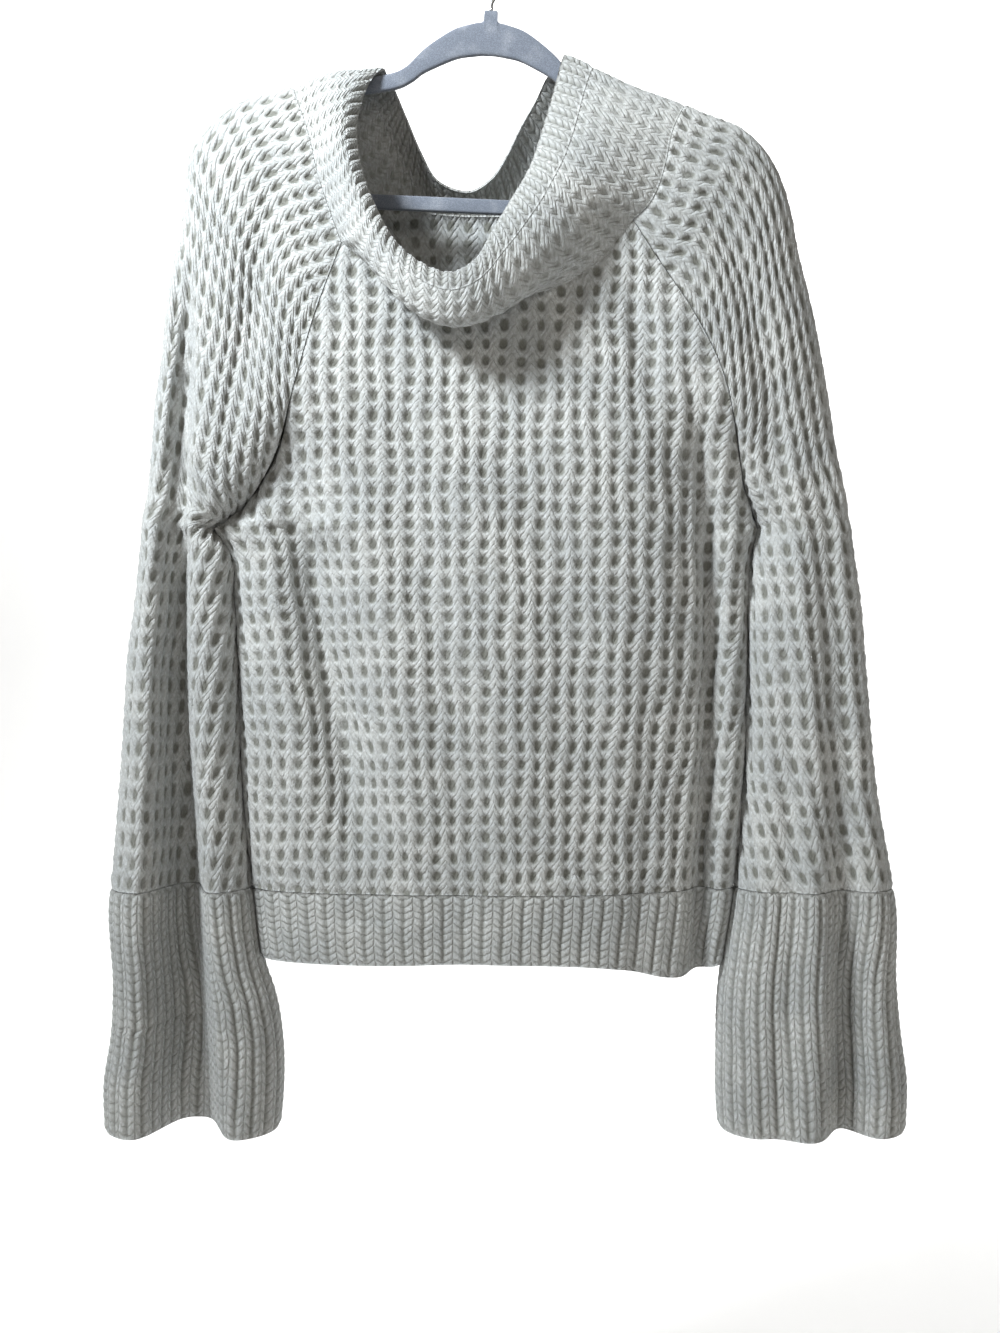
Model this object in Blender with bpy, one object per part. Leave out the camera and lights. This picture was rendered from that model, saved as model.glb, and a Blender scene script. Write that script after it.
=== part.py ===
"""A cowl neck sweater in waffle knit, on its slim velvet hanger.

Metres, +Z up. The origin is the inside top of the hook, where a rail carries it. Seen from the
front, +X is to the right and the front faces -Y. "left" and "right" are the wearer's, so the
left sleeve is at +X. Every piece is a wall whose outer face is worked out from the outline, the
depth of the cloth on each face, and its folds.
"""

import math

import bmesh
import bpy
import numpy as np

# Driving sizes of the cloth
WALL = 0.0022
RIB_WALL = 0.0018
RIB_RISE = 0.0014
SEAM_GAP = 0.0003
NECK_CLEAR = 0.0012  # the share of a raglan that the pieces below the neck seam start at
COLLAR_LIFT = 0.0006

# Heights of the seams
UNDERARM_Z = -0.4577
RIB_SEAM_Z = -0.7335
CUFF_END_Z = -0.919
VALLEY_RISE = 0.115  # how far above the underarm the sleeve and the body round into one
YOKE_REACH = 0.1  # how far in from the shoulder line the yoke rounds
ROUND_POWER = 2.2
FOLD_START_DEPTH = 0.02
CROWDING = 0.025  # the length that a turn of one radian counts as, where points crowd at bends
SHOULDER_CROWDING = 1.4  # above 1, rows are closer together over the shoulder
SLOPE_STEP = 0.0002
EDGE_NOISE = 0.0004
SECTION_STEP = 0.02
HEIGHT_STEP = 0.004

# Counts
DENSE = 161
RAGLAN_ROWS = 9
ARM_ROWS = 5
HALF_SLEEVE_COLUMNS = 17
FRONT_COLUMNS = 38
BACK_COLUMNS = 26
COLLAR_ROWS = 6
HEM_RIBS = 28
CUFF_RIBS = 34
BAND_RIBS = 76
BAND_SHARE = 0.2  # the rib band's share of the collar's height
BAND_GAP = 0.006

# The outer line of each sleeve: x, z, from the neck seam over the shoulder down to the cuff
OUTER = {
    "right": [
        (-0.1562, -0.1152), (-0.1794, -0.1214), (-0.1972, -0.1276), (-0.2143, -0.1400),
        (-0.2220, -0.1477), (-0.2344, -0.1671), (-0.2391, -0.2058), (-0.2461, -0.2446),
        (-0.2523, -0.2833), (-0.2561, -0.3221), (-0.2616, -0.3608), (-0.2639, -0.3996),
        (-0.2670, -0.4383), (-0.2716, -0.4771), (-0.2755, -0.5158), (-0.2809, -0.5546),
        (-0.2833, -0.5933), (-0.2856, -0.6321), (-0.2887, -0.6708), (-0.2918, -0.7096),
        (-0.2957, -0.7483), (-0.2926, -0.8065), (-0.2941, -0.8452), (-0.2998, -0.8840),
        (-0.2990, -0.9190),
    ],
    "left": [
        (0.1469, -0.1299), (0.1554, -0.1338), (0.1717, -0.1400), (0.1895, -0.1462),
        (0.2104, -0.1671), (0.2205, -0.1865), (0.2267, -0.2058), (0.2344, -0.2446),
        (0.2437, -0.2833), (0.2515, -0.3221), (0.2577, -0.3608), (0.2631, -0.3996),
        (0.2701, -0.4383), (0.2755, -0.4771), (0.2809, -0.5158), (0.2840, -0.5546),
        (0.2871, -0.5933), (0.2902, -0.6321), (0.2949, -0.6708), (0.3019, -0.7096),
        (0.3081, -0.7483), (0.3085, -0.8065), (0.3119, -0.8452), (0.3166, -0.8840),
        (0.3155, -0.9190),
    ],
}

# The raglan seams: x, z, from the neck seam down to the underarm
RAGLAN = {
    ("front", "right"): [
        (-0.1150, -0.2445), (-0.1350, -0.3000), (-0.1490, -0.3500), (-0.1650, -0.4000),
        (-0.1900, -0.4380), (-0.2166, -0.4577),
    ],
    ("front", "left"): [
        (0.1045, -0.2275), (0.1250, -0.2600), (0.1480, -0.2950), (0.1680, -0.3350),
        (0.1810, -0.3800), (0.1920, -0.4280), (0.2034, -0.4577),
    ],
    ("back", "right"): [
        (-0.1050, -0.1900), (-0.1240, -0.2500), (-0.1400, -0.3100), (-0.1560, -0.3700),
        (-0.1820, -0.4250), (-0.2166, -0.4577),
    ],
    ("back", "left"): [
        (0.1000, -0.1950), (0.1200, -0.2500), (0.1380, -0.3100), (0.1560, -0.3700),
        (0.1790, -0.4250), (0.2034, -0.4577),
    ],
}

# The neck seam between the raglans: x, z, from the wearer's right to the left
NECK = {
    "front": [
        (-0.1150, -0.2445), (-0.0800, -0.2720), (-0.0300, -0.2870), (0.0300, -0.2840),
        (0.0750, -0.2620), (0.1045, -0.2275),
    ],
    "back": [
        (-0.1050, -0.1900), (-0.0500, -0.2030), (0.0000, -0.2050), (0.0500, -0.2030),
        (0.1000, -0.1950),
    ],
}

# The neck seam across the top of each sleeve: x, z, from the front raglan to the shoulder line
SLEEVE_TOP = {
    "right": [
        (-0.1150, -0.2445), (-0.1205, -0.2294), (-0.1336, -0.1905), (-0.1396, -0.1643),
        (-0.1562, -0.1152),
    ],
    "left": [
        (0.1045, -0.2275), (0.1155, -0.2166), (0.1242, -0.1998), (0.1290, -0.1840),
        (0.1354, -0.1558), (0.1469, -0.1299),
    ],
}

# Below the underarm: z, the sleeve's inner edge and the body's edge on each side
SIDE_EDGES = [
    # z, right sleeve, right of body, left of body, left sleeve
    (-0.4577, -0.2173, -0.2159, 0.2027, 0.2041),
    (-0.4750, -0.2072, -0.2017, 0.1962, 0.2012),
    (-0.5100, -0.2035, -0.1980, 0.1930, 0.1988),
    (-0.5600, -0.2009, -0.1954, 0.1922, 0.1980),
    (-0.6445, -0.1978, -0.1923, 0.1900, 0.1955),
    (-0.7410, -0.1887, -0.1832, 0.1810, 0.1868),
    (-0.7940, -0.1810, -0.1755, 0.1730, 0.1785),
    (-0.8170, -0.1715, -0.1700, 0.1700, 0.1765),
    (-0.8600, -0.1650, -0.1650, 0.1700, 0.1742),
    (-0.8900, -0.1650, -0.1650, 0.1700, 0.1738),
    (-0.9190, -0.1680, -0.1650, 0.1700, 0.1775),
]

# How far the cloth stands from the hanger's plane: at the yoke, on the body and on the sleeves
DEPTHS = [
    # z, yoke front, yoke back, body front, body back, sleeve front, sleeve back
    (-0.100, 0.030, 0.030, 0.040, 0.038, 0.034, 0.032),
    (-0.200, 0.031, 0.033, 0.040, 0.038, 0.034, 0.032),
    (-0.300, 0.037, 0.038, 0.042, 0.040, 0.036, 0.034),
    (-0.400, 0.044, 0.041, 0.046, 0.040, 0.039, 0.037),
    (-0.460, 0.047, 0.041, 0.048, 0.040, 0.041, 0.038),
    (-0.600, 0.050, 0.041, 0.051, 0.040, 0.043, 0.041),
    (-0.735, 0.050, 0.041, 0.050, 0.040, 0.044, 0.043),
    (-0.920, 0.050, 0.041, 0.048, 0.040, 0.045, 0.045),
]

# The largest folds: the face and piece that each lies on, how square its floor is, and its route
FOLDS = [
    ("front", "body", 2, [
        # z, x, depth, half its width
        (-0.360, -0.154, 0.000, 0.016), (-0.430, -0.152, 0.010, 0.016),
        (-0.500, -0.141, 0.017, 0.016), (-0.664, -0.109, 0.010, 0.016),
        (-0.715, -0.100, 0.000, 0.013),
    ]),
    ("front", "body", 2, [
        (-0.330, 0.146, 0.000, 0.010), (-0.371, 0.152, 0.006, 0.010),
        (-0.414, 0.158, 0.014, 0.010), (-0.513, 0.164, 0.022, 0.010),
        (-0.628, 0.163, 0.024, 0.010), (-0.728, 0.158, 0.024, 0.010),
        (-0.810, 0.155, 0.024, 0.010),
    ]),
    ("front", "body", 2, [
        (-0.260, 0.095, 0.000, 0.012), (-0.320, 0.111, 0.006, 0.012),
        (-0.390, 0.112, 0.000, 0.012),
    ]),
    ("front", "right", 3, [
        (-0.255, -0.236, 0.000, 0.009), (-0.300, -0.236, 0.012, 0.009),
        (-0.420, -0.240, 0.026, 0.010), (-0.600, -0.244, 0.040, 0.012),
        (-0.735, -0.240, 0.054, 0.018), (-0.919, -0.234, 0.066, 0.026),
    ]),
    ("front", "left", 2, [
        (-0.330, 0.232, 0.000, 0.014), (-0.500, 0.250, 0.010, 0.015),
        (-0.700, 0.262, 0.018, 0.015), (-0.800, 0.265, 0.028, 0.015),
        (-0.919, 0.266, 0.036, 0.016),
    ]),
    ("back", "body", 2, [
        (-0.300, -0.070, 0.000, 0.024), (-0.480, -0.088, 0.011, 0.024),
        (-0.700, -0.098, 0.009, 0.022), (-0.810, -0.100, 0.006, 0.022),
    ]),
    ("back", "body", 2, [
        (-0.380, 0.110, 0.000, 0.018), (-0.520, 0.120, 0.014, 0.018),
        (-0.810, 0.128, 0.015, 0.020),
    ]),
    ("back", "body", 2, [
        (-0.450, 0.020, 0.000, 0.016), (-0.600, 0.014, 0.007, 0.018),
        (-0.720, 0.010, 0.000, 0.018),
    ]),
    ("back", "right", 2, [
        (-0.380, -0.234, 0.000, 0.012), (-0.600, -0.240, 0.010, 0.013),
        (-0.919, -0.236, 0.006, 0.016),
    ]),
    ("back", "left", 2, [
        (-0.400, 0.240, 0.000, 0.012), (-0.620, 0.246, 0.012, 0.014),
        (-0.919, 0.250, 0.010, 0.016),
    ]),
]

# The bottom of the hem: x, z
HEM_END = [
    (-0.180, -0.7870), (-0.100, -0.7865), (0.000, -0.7850), (0.100, -0.7900),
    (0.150, -0.7990), (0.180, -0.7930),
]

# The collar, a row for each section round the neck: the piece it is sewn to and how far along
# that piece's top, the edge of its rib band, and how far its middle swells
COLLAR = [
    # piece, share, edge x, edge y, edge z, swell y, swell z
    ("front", 0.03, -0.0856, -0.0550, -0.2274, -0.018, -0.012),
    ("front", 0.15, -0.0723, -0.0650, -0.2524, -0.018, -0.021),
    ("front", 0.27, -0.0535, -0.0750, -0.2713, -0.018, -0.030),
    ("front", 0.38, -0.0317, -0.0800, -0.2801, -0.018, -0.033),
    ("front", 0.50, -0.0137, -0.0780, -0.2699, -0.019, -0.031),
    ("front", 0.62, -0.0015, -0.0700, -0.2469, -0.020, -0.026),
    ("front", 0.78, 0.0116, -0.0600, -0.2218, -0.020, -0.016),
    ("front", 0.96, 0.0266, -0.0450, -0.1908, -0.018, -0.007),
    ("left front", 0.35, 0.0382, -0.0280, -0.1508, -0.011, -0.002),
    ("left front", 0.70, 0.0463, -0.0140, -0.1186, -0.006, -0.002),
    ("left front", 0.90, 0.0510, -0.0090, -0.0995, -0.002, -0.002),
    ("left front", 0.97, 0.0532, -0.0055, -0.0925, -0.001, -0.002),
    ("left front", 1.00, 0.0545, 0.0000, -0.0898, 0.000, -0.002),
    ("left back", 0.97, 0.0525, 0.0055, -0.0920, 0.001, -0.002),
    ("left back", 0.88, 0.0480, 0.0090, -0.0960, 0.003, -0.002),
    ("left back", 0.60, 0.0404, 0.0145, -0.1020, 0.008, -0.004),
    ("left back", 0.25, 0.0316, 0.0240, -0.1166, 0.015, -0.010),
    ("back", 0.98, 0.0203, 0.0320, -0.1334, 0.020, -0.020),
    ("back", 0.80, 0.0083, 0.0380, -0.1551, 0.023, -0.030),
    ("back", 0.64, -0.0038, 0.0420, -0.1712, 0.024, -0.036),
    ("back", 0.48, -0.0222, 0.0440, -0.1801, 0.024, -0.038),
    ("back", 0.30, -0.0455, 0.0400, -0.1728, 0.023, -0.034),
    ("back", 0.12, -0.0584, 0.0340, -0.1527, 0.021, -0.025),
    ("right back", 0.15, -0.0690, 0.0240, -0.1300, 0.017, -0.013),
    ("right back", 0.60, -0.0775, 0.0140, -0.1120, 0.010, -0.003),
    ("right back", 0.88, -0.0820, 0.0090, -0.1040, 0.005, 0.002),
    ("right back", 0.97, -0.0842, 0.0050, -0.1015, 0.002, 0.004),
    ("right back", 1.00, -0.0850, 0.0000, -0.1005, 0.000, 0.005),
    ("right front", 0.97, -0.0875, -0.0050, -0.1025, -0.002, 0.004),
    ("right front", 0.88, -0.0935, -0.0090, -0.1110, -0.004, 0.002),
    ("right front", 0.75, -0.1000, -0.0140, -0.1277, -0.007, 0.000),
    ("right front", 0.55, -0.1040, -0.0250, -0.1572, -0.010, -0.001),
    ("right front", 0.20, -0.0980, -0.0400, -0.1942, -0.015, -0.005),
]
SWELL_LOW = 0.55  # the collar stands out most in its upper half
SWELL_GROWS = 0.9
SWELL_EARLY = 0.85  # below 1, it hangs lowest in its lower half
COLLAR_START = 0.004  # the share of its height that the collar starts at, clear of the seam
NECK_ORDER = ["front", "left front", "left back", "back", "right back", "right front"]
NECK_RUNS_BACK = {"left back", "back", "right front"}  # these run from share 1 down to 0

# The hanger, before it tilts on its rail: half of its outline, x, z
TILT = math.radians(2.6)
BOARD_HALF = 0.00275
BOARD_ROUND = 0.0018
WIRE_RADIUS = 0.00165
HOOK_INSIDE = 0.019
HOOK_TIP_DEGREES = 205
HOOK_STEPS = 16
WIRE_SIDES = 8
SHANK_END_Z = -0.0557
BOARD_OUTER = [
    (0.0000, -0.0560), (0.0050, -0.0560), (0.0058, -0.0640), (0.0125, -0.0660),
    (0.0260, -0.0703), (0.0390, -0.0785), (0.0520, -0.0890), (0.0640, -0.1020),
    (0.0777, -0.1085), (0.1080, -0.1152), (0.1490, -0.1274), (0.1740, -0.1364),
    (0.1900, -0.1440), (0.2005, -0.1550), (0.2085, -0.1660), (0.2140, -0.1800),
    (0.2130, -0.1960), (0.2060, -0.2100), (0.1950, -0.2132), (0.1000, -0.2132),
    (0.0000, -0.2132),
]
BOARD_INNER = [
    (0.0000, -0.0905), (0.0050, -0.0906), (0.0070, -0.0908), (0.0120, -0.0915),
    (0.0240, -0.0938), (0.0380, -0.1000), (0.0505, -0.1067), (0.0588, -0.1135),
    (0.0720, -0.1200), (0.1060, -0.1270), (0.1460, -0.1385), (0.1690, -0.1465),
    (0.1830, -0.1530), (0.1915, -0.1620), (0.1970, -0.1710), (0.2010, -0.1820),
    (0.2010, -0.1930), (0.1970, -0.2005), (0.1910, -0.2018), (0.1000, -0.2018),
    (0.0000, -0.2018),
]

KNIT = (0.62, 0.61, 0.56)
KNIT_DARK = (0.56, 0.56, 0.52)
VELVET = (0.20, 0.23, 0.29)
STEEL = (0.60, 0.60, 0.62)


def spline(at, knots, values):
    """A smooth value at each place, through the table's values."""
    order = np.argsort(knots)
    knots, values = np.array(knots)[order], np.array(values)[order]
    slopes = np.gradient(values, knots)
    at = np.clip(at, knots[0], knots[-1])
    i = np.clip(np.searchsorted(knots, at, side="right") - 1, 0, len(knots) - 2)
    span = knots[i + 1] - knots[i]
    t = (at - knots[i]) / span
    rise = t * t * (3 - 2 * t)
    start = t * (1 - t) ** 2 * span * slopes[i]
    end = t * t * (t - 1) * span * slopes[i + 1]
    return values[i] * (1 - rise) + values[i + 1] * rise + start + end


def smooth(low, high, value):
    t = np.clip((value - low) / (high - low), 0, 1)
    return t * t * (3 - 2 * t)


def lengths(line):
    """How far along a line each of its points is."""
    steps = np.linalg.norm(np.diff(line, axis=0), axis=1)
    return np.concatenate([[0], np.cumsum(steps)])


def along(line, share):
    """The points of a table's line at those shares of its length, on a smooth curve."""
    line = np.array(line)
    at = np.asarray(share) * lengths(line)[-1]
    return np.stack([spline(at, lengths(line), line[:, k]) for k in range(line.shape[1])], -1)


def evenly(line, count, crowding=0.0):
    """The line again as count + 1 points with normals, evenly spaced or crowded at its bends."""
    run = lengths(line[:, :3])
    if crowding > 0:
        steps = np.diff(line[:, :3], axis=0)
        steps = steps / np.maximum(np.linalg.norm(steps, axis=1, keepdims=True), 1e-9)
        turn = np.linalg.norm(np.diff(steps, axis=0), axis=1)
        run = run + crowding * np.concatenate([[0], np.cumsum(turn), [turn.sum()]])
    at = np.linspace(0, run[-1], count + 1)
    found = np.stack([np.interp(at, run, line[:, k]) for k in range(6)], -1)
    found[:, 3:] /= np.linalg.norm(found[:, 3:], axis=1, keepdims=True)
    return found


SHOULDER = {side: [p for p in OUTER[side] if p[1] > -0.5] for side in OUTER}
ARM_LINE = {side: along(SHOULDER[side], np.linspace(0, 1, 60)) for side in OUTER}


def to_underarm(side):
    """The outer line from the neck seam down to the height of the underarm."""
    line = [p for p in OUTER[side] if p[1] > UNDERARM_Z]
    table = np.array(OUTER[side])
    return line + [(spline(UNDERARM_Z, table[:, 1], table[:, 0]).item(), UNDERARM_Z)]


def from_shoulder(x, z):
    """The distance of each point to the nearer shoulder line, negative outside it."""
    best = np.full(np.shape(x), 9.0)
    for side, line in ARM_LINE.items():
        inward = 1 if side == "right" else -1
        for (ax, az), (bx, bz) in zip(line[:-1], line[1:]):
            dx, dz = bx - ax, bz - az
            t = np.clip(((x - ax) * dx + (z - az) * dz) / (dx * dx + dz * dz), 0, 1)
            away = np.hypot(x - ax - t * dx, z - az - t * dz)
            inside = inward * (dx * (z - az) - dz * (x - ax)) >= 0
            best = np.where(away < np.abs(best), np.where(inside, away, -away), best)
    return best


def signed_root(value, power):
    return np.sign(value) * np.abs(value) ** power


def edges(face, region, z):
    """The two edges of the body or of a sleeve at each height."""
    rows = np.array(SIDE_EDGES)
    column = {"body": (2, 3), "right": (None, 1), "left": (4, None)}[region]
    found = []
    for side, edge in zip(("right", "left"), column):
        if edge is None:
            line = np.array(OUTER[side if region == side else region])
            found.append(spline(z, line[:, 1], line[:, 0]))
            continue
        seam_side = side if region == "body" else region
        seam = np.array(RAGLAN[face, seam_side])
        above = spline(z, seam[:, 1], seam[:, 0])
        below = spline(z, rows[:, 0], rows[:, edge])
        found.append(np.where(z > UNDERARM_Z, above, below))
    return found


def depth(face, region, x, z):
    """How far the cloth of one face stands from the hanger's plane, negative past its edges."""
    rows = np.array(DEPTHS)
    column = 0 if face == "front" else 1
    deepest = spline(z, rows[:, 0], rows[:, 1 + column])
    inward = np.clip(from_shoulder(x, z) / YOKE_REACH, -1, 1)
    yoke = deepest * signed_root(1 - (1 - inward) ** 2, 0.5)
    low, high = edges(face, region, z)
    across = np.clip(np.abs(2 * x - low - high) / (high - low), 0, 1.2)
    apart = spline(z, rows[:, 0], rows[:, (3 if region == "body" else 5) + column])
    apart = apart * signed_root(1 - across**ROUND_POWER, 1 / ROUND_POWER)
    joined = smooth(UNDERARM_Z, UNDERARM_Z + VALLEY_RISE, z)
    out = yoke * joined + apart * (1 - joined)
    sunk = np.zeros_like(out)
    for fold_face, fold_region, square, route in FOLDS:
        if (fold_face, fold_region) != (face, region):
            continue
        route = np.array(route)
        middle, deep, half = (spline(z, route[:, 0], route[:, k]) for k in (1, 2, 3))
        inside = (z >= route[:, 0].min() - 0.02) & (z <= route[:, 0].max())
        shape = np.exp(-(np.abs((x - middle) / half) ** square))
        sunk = sunk + np.where(inside, np.maximum(deep, 0) * shape, 0)
    return out - sunk * np.clip(out / FOLD_START_DEPTH, 0, 1)


def flush(out):
    """Rounding errors at an edge, where the depth is nothing, are left out."""
    return np.where(np.abs(out) < EDGE_NOISE, 0, out)


def lifted(face, region, flat):
    """Points at x, z on a face, with their y and their unit normals."""
    x, z, step = flat[:, 0], flat[:, 1], SLOPE_STEP
    out = depth(face, region, x, z)
    slope_x = depth(face, region, x + step, z) - depth(face, region, x - step, z)
    slope_z = depth(face, region, x, z + step) - depth(face, region, x, z - step)
    away = -1 if face == "front" else 1
    normal = np.stack([-slope_x, np.full(len(x), away * 2 * step), -slope_z], -1)
    normal /= np.linalg.norm(normal, axis=1, keepdims=True)
    return np.concatenate([np.stack([x, away * flush(out), z], -1), normal], axis=1)


def level_normals(grid, row):
    """Turns the normals along a level seam level, so that walls meet edge to edge."""
    grid[row, :, 5] = 0
    grid[row, :, 3:] /= np.linalg.norm(grid[row, :, 3:], axis=1, keepdims=True)
    return grid


def flatten_end(row, end):
    """Turns the normal at one end of a row into the hanger's plane, where two faces meet."""
    row[end, 4] = 0
    row[end, 3:] /= np.linalg.norm(row[end, 3:])


def between(start, end, bend, fade):
    """A row from one seam to another, crowded at its ends, that fades the neck's curve out."""
    s = (1 - np.cos(math.pi * np.linspace(0, 1, DENSE))) / 2
    flat = start + (end - start) * s[:, None]
    if fade > 0:
        ends = along(bend, np.array([0.0, 1.0]))
        flat = flat + (along(bend, s) - ends[0] - (ends[1] - ends[0]) * s[:, None]) * fade
    return flat


def panel_row(face, w):
    """The front or back above the underarm, at a share w of the raglans, towards +X."""
    start, end = along(RAGLAN[face, "right"], w), along(RAGLAN[face, "left"], w)
    inset = np.array([SEAM_GAP, 0])
    return lifted(face, "body", between(start + inset, end - inset, NECK[face], (1 - w) ** 2))


def sleeve_half(face, side, w):
    """Half of a sleeve's section, from the raglan at a share w to the outer line."""
    inset = np.array([SEAM_GAP if side == "left" else -SEAM_GAP, 0])
    start = along(RAGLAN[face, side], w) + inset
    clear = NECK_CLEAR * (1 - w)
    end = along(to_underarm(side), w**SHOULDER_CROWDING + clear)
    bend = SLEEVE_TOP[side]
    fade = (1 - w) ** 3 if face == "front" else 0
    half = lifted(face, side, between(start, end, bend, fade))
    flatten_end(half, -1)
    return half


def sleeve_row(side, w):
    """Both halves of a sleeve's section above the underarm, each from its raglan outwards."""
    return sleeve_half("front", side, w), sleeve_half("back", side, w)


def level_half(face, region, z):
    """Half of a level section below the underarm, towards +X. z is one height or one a point."""
    s = (1 - np.cos(math.pi * np.linspace(0, 1, DENSE))) / 2
    z = np.broadcast_to(z, s.shape)
    low, high = edges(face, region, z)
    row = lifted(face, region, np.stack([low + (high - low) * s, z], -1))
    flatten_end(row, 0)
    flatten_end(row, -1)
    if region == "body":
        away = -1 if face == "front" else 1
        row[:, 1] = away * np.maximum(away * row[:, 1], SEAM_GAP / 2)
    return row


def level_row(side, z):
    """Both halves of a sleeve's section below the underarm, each from its inner edge outwards."""
    front, back = level_half("front", side, z), level_half("back", side, z)
    return (front, back) if side == "left" else (front[::-1], back[::-1])


def joined(side, halves):
    """One row round a sleeve from its two halves, towards +X on the front."""
    front, back = halves
    if side == "left":
        return np.concatenate([front, back[-2::-1]])
    return np.concatenate([back, front[-2::-1]])


def body_row(face, z):
    """The front towards +X, or the back towards -X, below the underarm."""
    row = level_half(face, "body", z)
    return row if face == "front" else row[::-1]


def hem_row(face, share):
    """A row of the hem rib, at a share of the way from its seam to its wavy end."""
    end = np.array(HEM_END)
    s = (1 - np.cos(math.pi * np.linspace(0, 1, DENSE))) / 2
    low, high = edges(face, "body", np.full(DENSE, RIB_SEAM_Z))
    bottom = spline(low + (high - low) * s, end[:, 0], end[:, 1])
    top = RIB_SEAM_Z - SEAM_GAP / 2
    return body_row(face, top + (bottom - top) * share)


def neck_point(piece, share):
    """A point of the neck seam, on the outer face of the piece that the collar is sewn to."""
    share = np.atleast_1d(share)
    if piece in ("front", "back"):
        return lifted(piece, "body", along(NECK[piece], share))
    side, face = piece.split()
    if face == "front":
        return lifted(face, side, along(SLEEVE_TOP[side], share))
    start, end = along(RAGLAN[face, side], 0.0), along(OUTER[side], 0.0)
    return lifted(face, side, start + (end - start) * share[:, None])


def collar_stations():
    """The collar's sections as columns: how far round the neck, the edge and the swell."""
    places, values = [], []
    for piece, share, *rest in COLLAR:
        run = 1 - share if piece in NECK_RUNS_BACK else share
        places.append(NECK_ORDER.index(piece) + run)
        values.append(rest)
    return np.array(places), np.array(values)


def round_spline(at, values):
    """A smooth value at each place on a closed round of sections."""
    count = len(values)
    i = np.floor(at).astype(int)
    t = (at - i)[:, None]
    a, b, c, d = (values[(i + k) % count] for k in (-1, 0, 1, 2))
    return b + t * (c - a + t * (2 * a - 5 * b + 4 * c - d + t * (3 * (b - c) + d - a))) / 2


def collar_columns(at):
    """The seam, the edge and the swell of the collar, at places counted in sections."""
    places, values = collar_stations()
    rest = round_spline(at, values)
    lap = len(NECK_ORDER)
    knots = np.concatenate([places - lap, places, places + lap])
    index = np.arange(-len(places), 2 * len(places))
    where = np.interp(at, index, knots) % lap
    seam = np.zeros((len(at), 3))
    for k, piece in enumerate(NECK_ORDER):
        mine = np.floor(where).astype(int) == k
        run = where[mine] - k
        share = 1 - run if piece in NECK_RUNS_BACK else run
        if mine.any():
            seam[mine] = neck_point(piece, share)[:, :3]
    return seam, rest[:, :3], rest[:, 3:]


def collar_points(at, heights):
    """The collar's outer face: a row for each share of its height, a column for each place."""
    at = np.mod(at, len(COLLAR))
    seam, edge, swell = collar_columns(at)
    away = np.stack([np.zeros(len(at)), np.sign(seam[:, 1]), np.zeros(len(at))], -1)
    near = np.clip(np.abs(seam[:, 1]) / BOARD_HALF / 4, 0, 1)[:, None]
    seam = seam + COLLAR_LIFT * (away * near + np.array([0, 0, 1]) * (1 - near))
    rows = []
    for t in heights:
        row = seam + (edge - seam) * t
        row[:, 1] += swell[:, 0] * math.sin(math.pi * t) * (SWELL_LOW + SWELL_GROWS * t)
        row[:, 2] += swell[:, 1] * math.sin(math.pi * t**SWELL_EARLY) ** 2
        rows.append(row)
    return np.array(rows)


def collar_grid(at, heights):
    """The collar's outer face with its unit normals, its rows from the edge to the seam."""
    heights = np.asarray(heights)
    inside = np.clip(heights, HEIGHT_STEP, 1 - HEIGHT_STEP)
    up = collar_points(at, inside + HEIGHT_STEP) - collar_points(at, inside - HEIGHT_STEP)
    round_it = collar_points(at + SECTION_STEP, heights)
    round_it = round_it - collar_points(at - SECTION_STEP, heights)
    out = np.cross(round_it, up)
    out /= np.linalg.norm(out, axis=2, keepdims=True)
    return np.concatenate([collar_points(at, heights), out], axis=2)[::-1]


def collar_places_by_length(count):
    """Places that are evenly spaced along the collar's edge."""
    start = [row[:2] for row in COLLAR].index(("left front", 1.00))
    fine = start + np.linspace(0, len(COLLAR), 1200)
    seam, edge = collar_points(fine, [0, 1 - BAND_SHARE / 2])
    run = lengths(seam) + lengths(edge)
    return np.interp(np.linspace(0, run[-1], count + 1), run, fine)


def grid_index(rows, columns, closed_from):
    """The number of each point. From the row closed_from down, the last column is the first."""
    index = np.arange(rows * columns).reshape(rows, columns)
    if closed_from is not None:
        index[closed_from:, -1] = index[closed_from:, 0]
    return index


def material(name, colour, roughness, metallic=0.0):
    made = bpy.data.materials.get(name) or bpy.data.materials.new(name)
    made.use_nodes = True
    shader = made.node_tree.nodes["Principled BSDF"]
    shader.inputs["Base Color"].default_value = (*colour, 1)
    shader.inputs["Roughness"].default_value = roughness
    shader.inputs["Metallic"].default_value = metallic
    return made


def add_solid(name, points, faces, paint):
    """One closed mesh as an object, with its faces turned out."""
    shape = bmesh.new()
    verts = [shape.verts.new(p) for p in points]
    for face in faces:
        corners = list(dict.fromkeys(face))
        if len(corners) > 2:
            shape.faces.new([verts[k] for k in corners])
    loose = [v for v in verts if not v.link_faces]
    bmesh.ops.delete(shape, geom=loose, context="VERTS")
    bmesh.ops.recalc_face_normals(shape, faces=shape.faces)
    mesh = bpy.data.meshes.new(name)
    shape.to_mesh(mesh)
    shape.free()
    mesh.shade_smooth()
    mesh.set_sharp_from_angle(angle=math.radians(50))
    mesh.materials.append(paint)
    made = bpy.data.objects.new(name, mesh)
    bpy.context.scene.collection.objects.link(made)
    return made


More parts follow.
